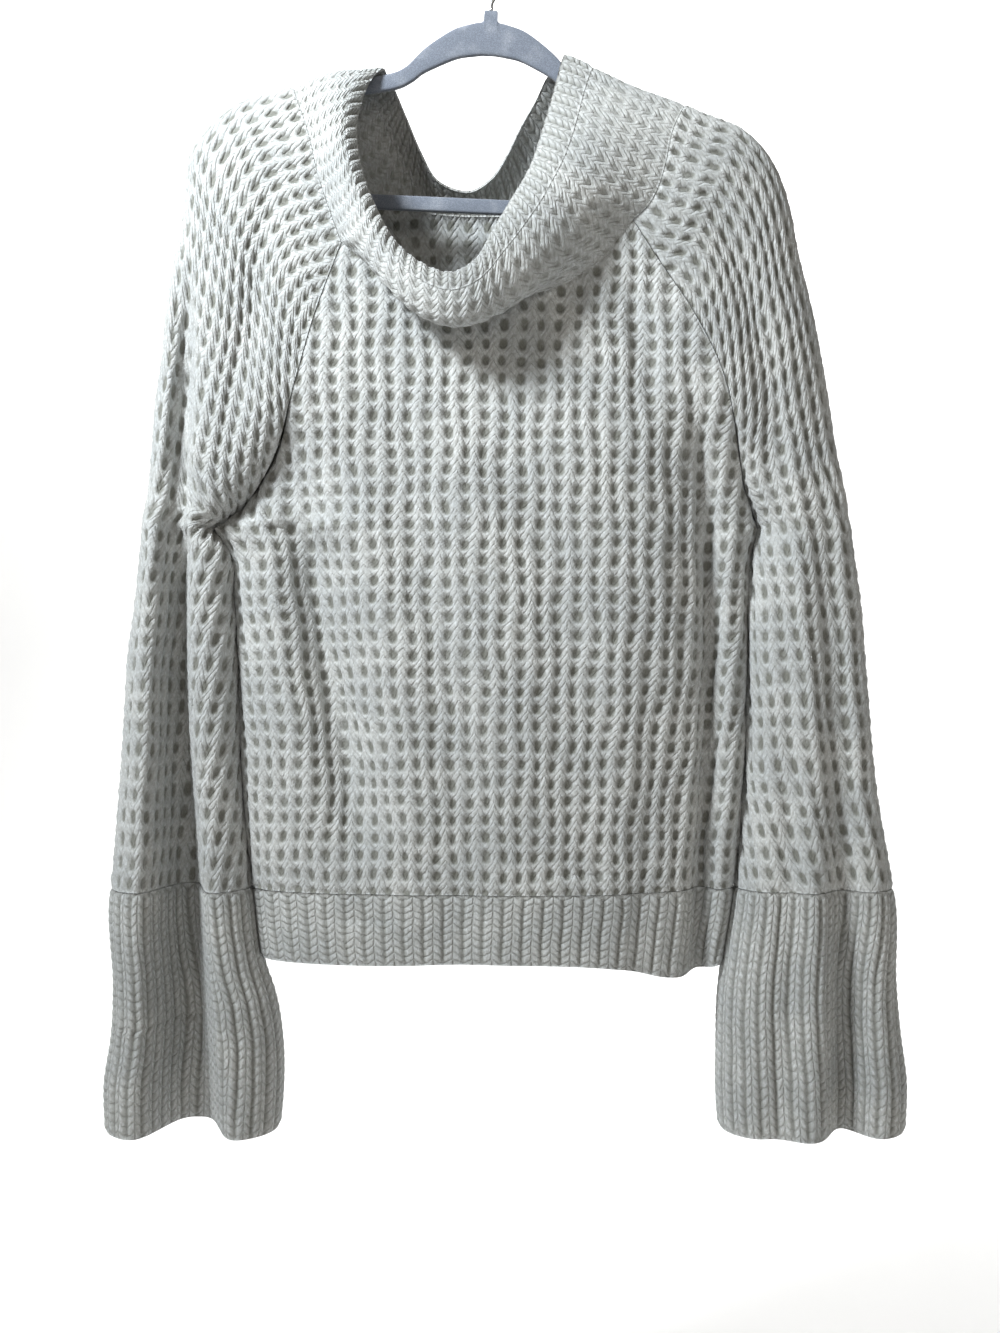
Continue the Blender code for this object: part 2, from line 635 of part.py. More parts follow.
def add_wall(name, outer, thick, paint, rise=None, step=1, closed_from=None):
    """A wall from its outer face. Ribs rise from it, and its inside has a point every step."""
    rows, columns = outer.shape[:2]
    index = grid_index(rows, columns, closed_from)
    outer, out = outer[..., :3], outer[..., 3:]
    inner = (outer - out * thick)[:, ::step]
    if rise is not None:
        outer = outer + out * rise[None, :, None]
    inside = index.max() + 1 + grid_index(rows, inner.shape[1], closed_from)
    points = np.zeros((inside.max() + 1, 3))
    points[index[:, ::-1]] = outer[:, ::-1]
    points[inside[:, ::-1]] = inner[:, ::-1]
    faces = []
    for grid in (index, inside):
        for r in range(rows - 1):
            for c in range(grid.shape[1] - 1):
                quad = [grid[r, c], grid[r + 1, c], grid[r + 1, c + 1], grid[r, c + 1]]
                faces.append(quad if grid is index else quad[::-1])
    for r in (0, rows - 1):
        for c in range(inside.shape[1] - 1):
            edge = list(index[r, c * step : (c + 1) * step + 1])
            faces.append(edge + [inside[r, c + 1], inside[r, c]])
    open_rows = rows - 1 if closed_from is None else closed_from
    for r in range(open_rows):
        for c in (0, -1):
            faces.append([index[r, c], index[r + 1, c], inside[r + 1, c], inside[r, c]])
    return add_solid(name, points, faces, paint)


def rib_rise(ribs, per_rib):
    """The height of the outer face at each column: a groove, then the top of a rib."""
    one = [0.0] + [RIB_RISE] * (per_rib - 1)
    return np.array(one * ribs + [0.0])


def raglan_shares():
    """Shares of the raglans at which rows start, just clear of the neck seam."""
    return np.maximum(np.linspace(0, 1, RAGLAN_ROWS + 1)[:-1], NECK_CLEAR)


def build_panel(face):
    """The front or the back, from the neck seam down to the hem rib's seam."""
    columns = FRONT_COLUMNS if face == "front" else BACK_COLUMNS
    rows = [panel_row(face, w) for w in raglan_shares()]
    if face == "back":
        rows = [row[::-1] for row in rows]
    heights = np.linspace(UNDERARM_Z - SEAM_GAP, RIB_SEAM_Z + SEAM_GAP / 2, ARM_ROWS + 1)
    rows += [body_row(face, z) for z in heights]
    grid = np.array([evenly(row, columns, CROWDING) for row in rows])
    add_wall(face, level_normals(grid, -1), WALL, KNIT_PAINT)


def build_sleeve(side):
    """A raglan sleeve: open to the neck along its raglans, and a tube below the underarm."""
    rows = [sleeve_row(side, w) for w in raglan_shares()]
    heights = np.linspace(UNDERARM_Z - SEAM_GAP, RIB_SEAM_Z + SEAM_GAP / 2, ARM_ROWS + 1)
    rows += [level_row(side, z) for z in heights]
    grid = []
    for halves in rows:
        halves = [evenly(half, HALF_SLEEVE_COLUMNS, CROWDING) for half in halves]
        grid.append(joined(side, halves))
    grid = level_normals(np.array(grid), -1)
    add_wall(f"sleeve_{side}", grid, WALL, KNIT_PAINT, closed_from=RAGLAN_ROWS)


def build_cuff(side):
    """A deep ribbed cuff, sewn to the end of its sleeve."""
    per_rib = 2
    heights = np.linspace(RIB_SEAM_Z - SEAM_GAP / 2, CUFF_END_Z, 4)
    rings = [joined(side, level_row(side, z)) for z in heights]
    grid = level_normals(np.array([evenly(ring, CUFF_RIBS * per_rib) for ring in rings]), 0)
    rise = rib_rise(CUFF_RIBS, per_rib)
    add_wall(f"cuff_{side}", grid, RIB_WALL, RIB_PAINT, rise, closed_from=0)


def build_hem(face):
    """The ribbed hem of one panel."""
    per_rib = 2
    grid = np.array([evenly(hem_row(face, t), HEM_RIBS * per_rib) for t in (0, 0.5, 1)])
    rise = rib_rise(HEM_RIBS, per_rib)
    add_wall(f"{face}_hem_rib", level_normals(grid, 0), RIB_WALL, RIB_PAINT, rise)


def build_collar():
    """The cowl collar in waffle knit, and the rib band along its edge."""
    seam_at = 1 - BAND_SHARE
    per_rib = 2
    at = collar_places_by_length(BAND_RIBS * per_rib)
    grid = collar_grid(at[::per_rib], np.linspace(COLLAR_START, seam_at - BAND_GAP / 2, COLLAR_ROWS + 1))
    add_wall("cowl", grid, WALL, KNIT_PAINT, closed_from=0)
    grid = collar_grid(at, np.linspace(seam_at + BAND_GAP / 2, 1, 3))
    rise = rib_rise(BAND_RIBS, per_rib)
    add_wall("cowl_rib_band", grid, RIB_WALL, RIB_PAINT, rise, per_rib, closed_from=0)


def build_board():
    """The hanger's board: shoulders, arms and lower bar round one window, edges rounded."""
    outer, inner = np.array(BOARD_OUTER), np.array(BOARD_INNER)
    mirror = np.array([-1, 1])
    outer = np.concatenate([outer, outer[-2:0:-1] * mirror])
    inner = np.concatenate([inner, inner[-2:0:-1] * mirror])
    across = (inner - outer) / np.linalg.norm(inner - outer, axis=1, keepdims=True)
    face = BOARD_HALF - BOARD_ROUND
    section = [(0, -face), (BOARD_ROUND, -BOARD_HALF), (-BOARD_ROUND, -BOARD_HALF), (0, -face)]
    rings = []
    for k, (step, y) in enumerate(section + [(d, -h) for d, h in section[::-1]]):
        base = outer if k in (0, 1, 6, 7) else inner
        flat = base + across * step
        rings.append(np.stack([flat[:, 0], np.full(len(flat), y), flat[:, 1]], -1))
    count = len(outer)
    faces = []
    for k in range(len(rings)):
        for i in range(count):
            j, m = (i + 1) % count, (k + 1) % len(rings)
            faces.append([k * count + i, k * count + j, m * count + j, m * count + i])
    board = add_solid("hanger_board", np.concatenate(rings), faces, VELVET_PAINT)
    board.rotation_euler = (0, TILT, 0)


def build_hook():
    """The wire hook: a shank up from the board, round behind the rail to an open tip."""
    radius = HOOK_INSIDE + WIRE_RADIUS
    centre_z = -HOOK_INSIDE
    shank = [(0, SHANK_END_Z), (0, SHANK_END_Z + 0.006)]
    sweep = np.radians(np.linspace(-40, HOOK_TIP_DEGREES, HOOK_STEPS))
    arc = [(radius * math.cos(a), centre_z + radius * math.sin(a)) for a in sweep]
    bend = [(0.0030, -0.0445), (0.0090, -0.0385)]
    path = np.array(shank + bend + arc)
    tangent = np.gradient(path, axis=0)
    tangent /= np.linalg.norm(tangent, axis=1, keepdims=True)
    side = np.stack([-tangent[:, 1], tangent[:, 0]], -1)
    points, faces = [], []
    for (x, z), (sx, sz) in zip(path, side):
        for k in range(WIRE_SIDES):
            turn = 2 * math.pi * k / WIRE_SIDES
            reach = WIRE_RADIUS * math.cos(turn)
            points.append((x + sx * reach, WIRE_RADIUS * math.sin(turn), z + sz * reach))
    for r in range(len(path) - 1):
        for k in range(WIRE_SIDES):
            m = (k + 1) % WIRE_SIDES
            low, high = r * WIRE_SIDES, (r + 1) * WIRE_SIDES
            faces.append([low + k, low + m, high + m, high + k])
    faces.append(list(range(WIRE_SIDES)))
    faces.append(list(range(len(points) - WIRE_SIDES, len(points))))
    hook = add_solid("hanger_hook", points, faces, STEEL_PAINT)
    hook.rotation_euler = (0, TILT, 0)


for old in list(bpy.data.objects):
    bpy.data.objects.remove(old)

KNIT_PAINT = material("waffle knit", KNIT, 0.9)
RIB_PAINT = material("rib knit", KNIT_DARK, 0.9)
VELVET_PAINT = material("flocked velvet", VELVET, 0.95)
STEEL_PAINT = material("plated steel wire", STEEL, 0.25, 1.0)

for face_name in ("front", "back"):
    build_panel(face_name)
    build_hem(face_name)
for side_name in ("right", "left"):
    build_sleeve(side_name)
    build_cuff(side_name)
build_collar()
build_board()
build_hook()
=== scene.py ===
"""The look of the sweater in waffle knit on its velvet hanger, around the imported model.

Metres, +Z up, the front faces -Y and the wearer's left sleeve is at +X. Each knitted piece is
worked out from the same outline, depths and folds as its solid, with the knit raised on it.
"""

import math

import bmesh
import bpy
import numpy as np
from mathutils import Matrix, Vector


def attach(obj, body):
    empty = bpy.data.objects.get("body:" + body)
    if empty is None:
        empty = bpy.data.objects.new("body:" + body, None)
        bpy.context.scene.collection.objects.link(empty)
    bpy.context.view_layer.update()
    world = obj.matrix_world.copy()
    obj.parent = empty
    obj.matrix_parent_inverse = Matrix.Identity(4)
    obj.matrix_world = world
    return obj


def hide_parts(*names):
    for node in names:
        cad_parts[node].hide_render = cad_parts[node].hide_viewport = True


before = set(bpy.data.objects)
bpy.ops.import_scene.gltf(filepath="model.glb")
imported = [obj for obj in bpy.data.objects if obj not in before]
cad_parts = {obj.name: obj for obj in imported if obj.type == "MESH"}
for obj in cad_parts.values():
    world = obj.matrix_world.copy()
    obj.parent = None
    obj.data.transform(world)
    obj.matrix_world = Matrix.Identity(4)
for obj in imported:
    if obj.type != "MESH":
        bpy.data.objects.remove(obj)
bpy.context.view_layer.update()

# The gaps at the seams
SEAM_GAP = 0.0003
NECK_CLEAR = 0.0004  # how far below the neck seam the pieces start, as a share of their raglans
COLLAR_LIFT = 0.0003  # how far the collar's seam stands off the piece below it

# Heights of the seams, and how the cloth rounds about the shoulders and the underarm
UNDERARM_Z = -0.4577
RIB_SEAM_Z = -0.7335
CUFF_END_Z = -0.919
VALLEY_RISE = 0.115  # how far above the underarm the sleeve and the body round into one
YOKE_REACH = 0.1  # how far in from the shoulder line the yoke rounds
ROUND_POWER = 2.2
FOLD_START_DEPTH = 0.02  # a fold fades out where the cloth is nearer to the hanger than this
FOLD_TAIL = 0.02  # how far below its last row a fold goes on
SHOULDER_END_Z = -0.5
SHOULDER_POINTS = 60
SHOULDER_CROWDING = 1.4  # above 1, rows are closer together over the shoulder
EDGE_NOISE = 0.0004
FAR = 9.0  # further than any point of the sweater

# The ribs of each ribbed piece, and the band's place on the collar as shares of its height
HEM_RIBS = 28
CUFF_RIBS = 34
BAND_RIBS = 76
BAND_SHARE = 0.24
BAND_GAP = 0.0012

# How finely rows and slopes are worked out
ROW_POINTS = 301
COLLAR_EDGE_POINTS = 1200
SECTION_STEP = 0.02
HEIGHT_STEP = 0.004

# The outer line of each sleeve: x, z, from the neck seam over the shoulder down to the cuff
OUTER = {
    "right": [
        (-0.1562, -0.1152), (-0.1794, -0.1214), (-0.1972, -0.1276), (-0.2143, -0.14),
        (-0.222, -0.1477), (-0.2344, -0.1671), (-0.2391, -0.2058), (-0.2461, -0.2446),
        (-0.2523, -0.2833), (-0.2561, -0.3221), (-0.2616, -0.3608), (-0.2639, -0.3996),
        (-0.267, -0.4383), (-0.2716, -0.4771), (-0.2755, -0.5158), (-0.2809, -0.5546),
        (-0.2833, -0.5933), (-0.2856, -0.6321), (-0.2887, -0.6708), (-0.2918, -0.7096),
        (-0.2957, -0.7483), (-0.2926, -0.8065), (-0.2941, -0.8452), (-0.2998, -0.884),
        (-0.299, -0.919),
    ],
    "left": [
        (0.1469, -0.1299), (0.1554, -0.1338), (0.1717, -0.14), (0.1895, -0.1462), (0.2104, -0.1671),
        (0.2205, -0.1865), (0.2267, -0.2058), (0.2344, -0.2446), (0.2437, -0.2833),
        (0.2515, -0.3221), (0.2577, -0.3608), (0.2631, -0.3996), (0.2701, -0.4383),
        (0.2755, -0.4771), (0.2809, -0.5158), (0.284, -0.5546), (0.2871, -0.5933),
        (0.2902, -0.6321), (0.2949, -0.6708), (0.3019, -0.7096), (0.3081, -0.7483),
        (0.3085, -0.8065), (0.3119, -0.8452), (0.3166, -0.884), (0.3155, -0.919),
    ],
}

# The raglan seams: x, z, from the neck seam down to the underarm
RAGLAN = {
    ("front", "right"): [
        (-0.115, -0.2445), (-0.135, -0.3), (-0.149, -0.35), (-0.165, -0.4), (-0.19, -0.438),
        (-0.2166, -0.4577),
    ],
    ("front", "left"): [
        (0.1045, -0.2275), (0.125, -0.26), (0.148, -0.295), (0.168, -0.335), (0.181, -0.38),
        (0.192, -0.428), (0.2034, -0.4577),
    ],
    ("back", "right"): [
        (-0.105, -0.19), (-0.124, -0.25), (-0.14, -0.31), (-0.156, -0.37), (-0.182, -0.425),
        (-0.2166, -0.4577),
    ],
    ("back", "left"): [
        (0.1, -0.195), (0.12, -0.25), (0.138, -0.31), (0.156, -0.37), (0.179, -0.425),
        (0.2034, -0.4577),
    ],
}

# The neck seam between the raglans: x, z, from the wearer's right to the left
NECK = {
    "front": [
        (-0.115, -0.2445), (-0.08, -0.272), (-0.03, -0.287), (0.03, -0.284), (0.075, -0.262),
        (0.1045, -0.2275),
    ],
    "back": [
        (-0.105, -0.19), (-0.05, -0.203), (0, -0.205), (0.05, -0.203), (0.1, -0.195),
    ],
}

# The neck seam across the top of each sleeve: x, z, from the front raglan to the shoulder line
SLEEVE_TOP = {
    "right": [
        (-0.115, -0.2445), (-0.1205, -0.2294), (-0.1336, -0.1905), (-0.1396, -0.1643),
        (-0.1562, -0.1152),
    ],
    "left": [
        (0.1045, -0.2275), (0.1155, -0.2166), (0.1242, -0.1998), (0.129, -0.184), (0.1354, -0.1558),
        (0.1469, -0.1299),
    ],
}

# Below the underarm: z, the sleeve's inner edge and the body's edge on each side
SIDE_EDGES = [
    # z, right sleeve, right of body, left of body, left sleeve
    (-0.4577, -0.2173, -0.2159, 0.2027, 0.2041),
    (-0.475, -0.2072, -0.2017, 0.1962, 0.2012),
    (-0.51, -0.2035, -0.198, 0.193, 0.1988),
    (-0.56, -0.2009, -0.1954, 0.1922, 0.198),
    (-0.6445, -0.1978, -0.1923, 0.19, 0.1955),
    (-0.741, -0.1887, -0.1832, 0.181, 0.1868),
    (-0.794, -0.181, -0.1755, 0.173, 0.1785),
    (-0.817, -0.1715, -0.17, 0.17, 0.1765),
    (-0.86, -0.165, -0.165, 0.17, 0.1742),
    (-0.89, -0.165, -0.165, 0.17, 0.1738),
    (-0.919, -0.168, -0.165, 0.17, 0.1775),
]

# How far the cloth stands from the hanger's plane: at the yoke, on the body and on the sleeves
DEPTHS = [
    # z, yoke front, yoke back, body front, body back, sleeve front, sleeve back
    (-0.1, 0.03, 0.03, 0.04, 0.038, 0.034, 0.032),
    (-0.2, 0.031, 0.033, 0.04, 0.038, 0.034, 0.032),
    (-0.3, 0.037, 0.038, 0.042, 0.04, 0.036, 0.034),
    (-0.4, 0.044, 0.041, 0.046, 0.04, 0.039, 0.037),
    (-0.46, 0.047, 0.041, 0.048, 0.04, 0.041, 0.038),
    (-0.6, 0.05, 0.041, 0.051, 0.04, 0.043, 0.041),
    (-0.735, 0.05, 0.041, 0.05, 0.04, 0.044, 0.043),
    (-0.92, 0.05, 0.041, 0.048, 0.04, 0.045, 0.045),
]

# The largest folds: the face and piece that each lies on, how square its floor is, and its route
FOLDS = [
    ("front", "body", 2, [
        # z, x, depth, half its width
        (-0.36, -0.154, 0, 0.016), (-0.43, -0.152, 0.01, 0.016), (-0.5, -0.141, 0.017, 0.016),
        (-0.664, -0.109, 0.01, 0.016), (-0.715, -0.1, 0, 0.013),
    ]),
    ("front", "body", 2, [
        (-0.33, 0.146, 0, 0.01), (-0.371, 0.152, 0.006, 0.01), (-0.414, 0.158, 0.014, 0.01),
        (-0.513, 0.164, 0.022, 0.01), (-0.628, 0.163, 0.024, 0.01), (-0.728, 0.158, 0.024, 0.01),
        (-0.81, 0.155, 0.024, 0.01),
    ]),
    ("front", "body", 2, [
        (-0.26, 0.095, 0, 0.012), (-0.32, 0.111, 0.006, 0.012), (-0.39, 0.112, 0, 0.012),
    ]),
    ("front", "right", 3, [
        (-0.255, -0.236, 0, 0.009), (-0.3, -0.236, 0.012, 0.009), (-0.42, -0.24, 0.026, 0.01),
        (-0.6, -0.244, 0.04, 0.012), (-0.735, -0.24, 0.054, 0.018), (-0.919, -0.234, 0.066, 0.026),
    ]),
    ("front", "left", 2, [
        (-0.33, 0.232, 0, 0.014), (-0.5, 0.25, 0.01, 0.015), (-0.7, 0.262, 0.018, 0.015),
        (-0.8, 0.265, 0.028, 0.015), (-0.919, 0.266, 0.036, 0.016),
    ]),
    ("back", "body", 2, [
        (-0.3, -0.07, 0, 0.024), (-0.48, -0.088, 0.011, 0.024), (-0.7, -0.098, 0.009, 0.022),
        (-0.81, -0.1, 0.006, 0.022),
    ]),
    ("back", "body", 2, [
        (-0.38, 0.11, 0, 0.018), (-0.52, 0.12, 0.014, 0.018), (-0.81, 0.128, 0.015, 0.02),
    ]),
    ("back", "body", 2, [
        (-0.45, 0.02, 0, 0.016), (-0.6, 0.014, 0.007, 0.018), (-0.72, 0.01, 0, 0.018),
    ]),
    ("back", "right", 2, [
        (-0.38, -0.234, 0, 0.012), (-0.6, -0.24, 0.01, 0.013), (-0.919, -0.236, 0.006, 0.016),
    ]),
    ("back", "left", 2, [
        (-0.4, 0.24, 0, 0.012), (-0.62, 0.246, 0.012, 0.014), (-0.919, 0.25, 0.01, 0.016),
    ]),
]

# The bottom of the hem: x, z
HEM_END = [
    (-0.18, -0.787), (-0.1, -0.7865), (0, -0.785), (0.1, -0.79), (0.15, -0.799), (0.18, -0.793),
]

# The collar, a row for each section round the neck: the piece it is sewn to and how far along
# that piece's top, the edge of its rib band, and how far its middle swells
COLLAR = [
    # piece, share, edge x, edge y, edge z, swell y, swell z
    ("front", 0.03, -0.0856, -0.055, -0.2274, -0.018, -0.012),
    ("front", 0.15, -0.0723, -0.065, -0.2524, -0.018, -0.021),
    ("front", 0.27, -0.0535, -0.075, -0.2713, -0.018, -0.03),
    ("front", 0.38, -0.0317, -0.08, -0.2801, -0.018, -0.033),
    ("front", 0.5, -0.0137, -0.078, -0.2699, -0.019, -0.031),
    ("front", 0.62, -0.0015, -0.07, -0.2469, -0.02, -0.026),
    ("front", 0.78, 0.0116, -0.06, -0.2218, -0.02, -0.016),
    ("front", 0.96, 0.0266, -0.045, -0.1908, -0.018, -0.007),
    ("left front", 0.35, 0.0382, -0.028, -0.1508, -0.011, -0.002),
    ("left front", 0.7, 0.0463, -0.014, -0.1186, -0.006, -0.002),
    ("left front", 0.9, 0.051, -0.009, -0.0995, -0.002, -0.002),
    ("left front", 0.97, 0.0532, -0.0055, -0.0925, -0.001, -0.002),
    ("left front", 1, 0.0545, 0, -0.0898, 0, -0.002),
    ("left back", 0.97, 0.0525, 0.0055, -0.092, 0.001, -0.002),
    ("left back", 0.88, 0.048, 0.009, -0.096, 0.003, -0.002),
    ("left back", 0.6, 0.0404, 0.0145, -0.102, 0.008, -0.004),
    ("left back", 0.25, 0.0316, 0.024, -0.1166, 0.015, -0.01),
    ("back", 0.98, 0.0203, 0.032, -0.1334, 0.02, -0.02),
    ("back", 0.8, 0.0083, 0.038, -0.1551, 0.023, -0.03),
    ("back", 0.64, -0.0038, 0.042, -0.1712, 0.024, -0.036),
    ("back", 0.48, -0.0222, 0.044, -0.1801, 0.024, -0.038),
    ("back", 0.3, -0.0455, 0.04, -0.1728, 0.023, -0.034),
    ("back", 0.12, -0.0584, 0.034, -0.1527, 0.021, -0.025),
    ("right back", 0.15, -0.069, 0.024, -0.13, 0.017, -0.013),
    ("right back", 0.6, -0.0775, 0.014, -0.112, 0.01, -0.003),
    ("right back", 0.88, -0.082, 0.009, -0.104, 0.005, 0.002),
    ("right back", 0.97, -0.0842, 0.005, -0.1015, 0.002, 0.004),
    ("right back", 1, -0.085, 0, -0.1005, 0, 0.005),
    ("right front", 0.97, -0.0875, -0.005, -0.1025, -0.002, 0.004),
    ("right front", 0.88, -0.0935, -0.009, -0.111, -0.004, 0.002),
    ("right front", 0.75, -0.1, -0.014, -0.1277, -0.007, 0),
    ("right front", 0.55, -0.104, -0.025, -0.1572, -0.01, -0.001),
    ("right front", 0.2, -0.098, -0.04, -0.1942, -0.015, -0.005),
]
SWELL_LOW = 0.55  # the collar stands out most in its upper half
SWELL_GROWS = 0.9
SWELL_EARLY = 0.85  # below 1, it hangs lowest in its lower half
COLLAR_START = 0.0005  # the share of its height that the collar starts at, clear of the seam
NECK_ORDER = ["front", "left front", "left back", "back", "right back", "right front"]
NECK_RUNS_BACK = {"left back", "back", "right front"}  # these run from share 1 down to 0

# The hanger, before it tilts on its rail: half of its outline, x, z
TILT = math.radians(2.6)
BOARD_HALF = 0.00275
WIRE_RADIUS = 0.00165
HOOK_INSIDE = 0.019  # the radius inside the loop
HOOK_START_DEGREES = -40
HOOK_TIP_DEGREES = 205
SHANK_END_Z = -0.0557
SHANK = [(0, SHANK_END_Z), (0, SHANK_END_Z + 0.006), (0.0030, -0.0445), (0.0090, -0.0385)]
TIP_START = 0.05  # the rounded tip's smallest ring, as a share of the wire's radius from its end
HOOK_ARC_POINTS, HOOK_RINGS, HOOK_SIDES = 18, 110, 20
BOARD_RINGS, BOARD_SIDES = 181, 24
BOARD_EDGE_SQUARE, BOARD_FACE_SQUARE = 0.3, 0.55  # below 1, the section is squarer than round
BOARD_OUTER = [
    (0, -0.056), (0.005, -0.056), (0.0058, -0.064), (0.0125, -0.066), (0.026, -0.0703),
    (0.039, -0.0785), (0.052, -0.089), (0.064, -0.102), (0.0777, -0.1085), (0.108, -0.1152),
    (0.149, -0.1274), (0.174, -0.1364), (0.19, -0.144), (0.2005, -0.155), (0.2085, -0.166),
    (0.214, -0.18), (0.213, -0.196), (0.206, -0.21), (0.195, -0.2132), (0.1, -0.2132), (0, -0.2132),
]
BOARD_INNER = [
    (0, -0.0905), (0.005, -0.0906), (0.007, -0.0908), (0.012, -0.0915), (0.024, -0.0938),
    (0.038, -0.1), (0.0505, -0.1067), (0.0588, -0.1135), (0.072, -0.12), (0.106, -0.127),
    (0.146, -0.1385), (0.169, -0.1465), (0.183, -0.153), (0.1915, -0.162), (0.197, -0.171),
    (0.201, -0.182), (0.201, -0.193), (0.197, -0.2005), (0.191, -0.2018), (0.1, -0.2018),
    (0, -0.2018),
]


def spline(at, knots, values):
    """A smooth value at each place, through the table's values."""
    order = np.argsort(knots)
    knots, values = np.array(knots)[order], np.array(values)[order]
    slopes = np.gradient(values, knots)
    at = np.clip(at, knots[0], knots[-1])
    i = np.clip(np.searchsorted(knots, at, side="right") - 1, 0, len(knots) - 2)
    span = knots[i + 1] - knots[i]
    t = (at - knots[i]) / span
    rise = t * t * (3 - 2 * t)
    start = t * (1 - t) ** 2 * span * slopes[i]
    end = t * t * (t - 1) * span * slopes[i + 1]
    return values[i] * (1 - rise) + values[i + 1] * rise + start + end


def smooth(low, high, value):
    t = np.clip((value - low) / (high - low), 0, 1)
    return t * t * (3 - 2 * t)


def lengths(line):
    """How far along a line each of its points is."""
    steps = np.linalg.norm(np.diff(line, axis=0), axis=1)
    return np.concatenate([[0], np.cumsum(steps)])


def along(line, share):
    """The points of a table's line at those shares of its length, on a smooth curve."""
    line = np.array(line)
    at = np.asarray(share) * lengths(line)[-1]
    return np.stack([spline(at, lengths(line), line[:, k]) for k in range(line.shape[1])], -1)


def evenly(line, count):
    """The line again as count + 1 evenly spaced points, each with the side that it faces."""
    run = lengths(line[:, :3])
    at = np.linspace(0, run[-1], count + 1)
    found = np.stack([np.interp(at, run, line[:, k]) for k in range(6)], -1)
    found[:, 3:] /= np.linalg.norm(found[:, 3:], axis=1, keepdims=True)
    return found


SHOULDER = {side: [p for p in OUTER[side] if p[1] > SHOULDER_END_Z] for side in OUTER}
ARM_LINE = {side: along(SHOULDER[side], np.linspace(0, 1, SHOULDER_POINTS)) for side in OUTER}

# Shares along a row, crowded at both of its ends
ROW_SHARES = (1 - np.cos(math.pi * np.linspace(0, 1, ROW_POINTS))) / 2


def to_underarm(side):
    """The outer line from the neck seam down to the height of the underarm."""
    line = [p for p in OUTER[side] if p[1] > UNDERARM_Z]
    table = np.array(OUTER[side])
    return line + [(spline(UNDERARM_Z, table[:, 1], table[:, 0]).item(), UNDERARM_Z)]


def from_shoulder(x, z):
    """The distance of each point to the nearer shoulder line, negative outside it."""
    best = np.full(np.shape(x), FAR)
    for side, line in ARM_LINE.items():
        inward = 1 if side == "right" else -1
        for (ax, az), (bx, bz) in zip(line[:-1], line[1:]):
            dx, dz = bx - ax, bz - az
            t = np.clip(((x - ax) * dx + (z - az) * dz) / (dx * dx + dz * dz), 0, 1)
            away = np.hypot(x - ax - t * dx, z - az - t * dz)
            inside = inward * (dx * (z - az) - dz * (x - ax)) >= 0
            best = np.where(away < np.abs(best), np.where(inside, away, -away), best)
    return best


def signed_root(value, power):
    return np.sign(value) * np.abs(value) ** power


def edges(face, region, z):
    """The two edges of the body or of a sleeve at each height."""
    rows = np.array(SIDE_EDGES)
    column = {"body": (2, 3), "right": (None, 1), "left": (4, None)}[region]
    found = []
    for side, edge in zip(("right", "left"), column):
        if edge is None:
            line = np.array(OUTER[side if region == side else region])
            found.append(spline(z, line[:, 1], line[:, 0]))
            continue
        seam_side = side if region == "body" else region
        seam = np.array(RAGLAN[face, seam_side])
        above = spline(z, seam[:, 1], seam[:, 0])
        below = spline(z, rows[:, 0], rows[:, edge])
        found.append(np.where(z > UNDERARM_Z, above, below))
    return found


def depth(face, region, x, z):
    """How far the cloth of one face stands from the hanger's plane, negative past its edges."""
    rows = np.array(DEPTHS)
    column = 0 if face == "front" else 1
    deepest = spline(z, rows[:, 0], rows[:, 1 + column])
    inward = np.clip(from_shoulder(x, z) / YOKE_REACH, -1, 1)
    yoke = deepest * signed_root(1 - (1 - inward) ** 2, 0.5)
    low, high = edges(face, region, z)
    across = np.clip(np.abs(2 * x - low - high) / (high - low), 0, 1.2)
    apart = spline(z, rows[:, 0], rows[:, (3 if region == "body" else 5) + column])
    apart = apart * signed_root(1 - across**ROUND_POWER, 1 / ROUND_POWER)
    joined = smooth(UNDERARM_Z, UNDERARM_Z + VALLEY_RISE, z)
    out = yoke * joined + apart * (1 - joined)
    sunk = np.zeros_like(out)
    for fold_face, fold_region, square, route in FOLDS:
        if (fold_face, fold_region) != (face, region):
            continue
        route = np.array(route)
        middle, deep, half = (spline(z, route[:, 0], route[:, k]) for k in (1, 2, 3))
        inside = (z >= route[:, 0].min() - FOLD_TAIL) & (z <= route[:, 0].max())
        shape = np.exp(-(np.abs((x - middle) / half) ** square))
        sunk = sunk + np.where(inside, np.maximum(deep, 0) * shape, 0)
    return out - sunk * np.clip(out / FOLD_START_DEPTH, 0, 1)


def flush(out):
    """Rounding errors at an edge, where the depth is nothing, are left out."""
    return np.where(np.abs(out) < EDGE_NOISE, 0, out)


def lifted(face, region, flat):
    """Points at x, z on a face, with their y and the side that they face."""
    x, z = flat[:, 0], flat[:, 1]
    away = -1 if face == "front" else 1
    facing = np.broadcast_to([0, away, 0], (len(x), 3))
    points = np.stack([x, away * flush(depth(face, region, x, z)), z], -1)
    return np.concatenate([points, facing], axis=1)


def between(start, end, bend, fade):
    """A row from one seam to another, crowded at its ends, that fades the neck's curve out."""
    share = ROW_SHARES[:, None]
    flat = start + (end - start) * share
    if fade > 0:
        ends = along(bend, np.array([0.0, 1.0]))
        flat = flat + (along(bend, ROW_SHARES) - ends[0] - (ends[1] - ends[0]) * share) * fade
    return flat


def panel_row(face, w):
    """The front or back above the underarm, at a share w of the raglans, towards +X."""
    start, end = along(RAGLAN[face, "right"], w), along(RAGLAN[face, "left"], w)
    inset = np.array([SEAM_GAP, 0])
    return lifted(face, "body", between(start + inset, end - inset, NECK[face], (1 - w) ** 2))


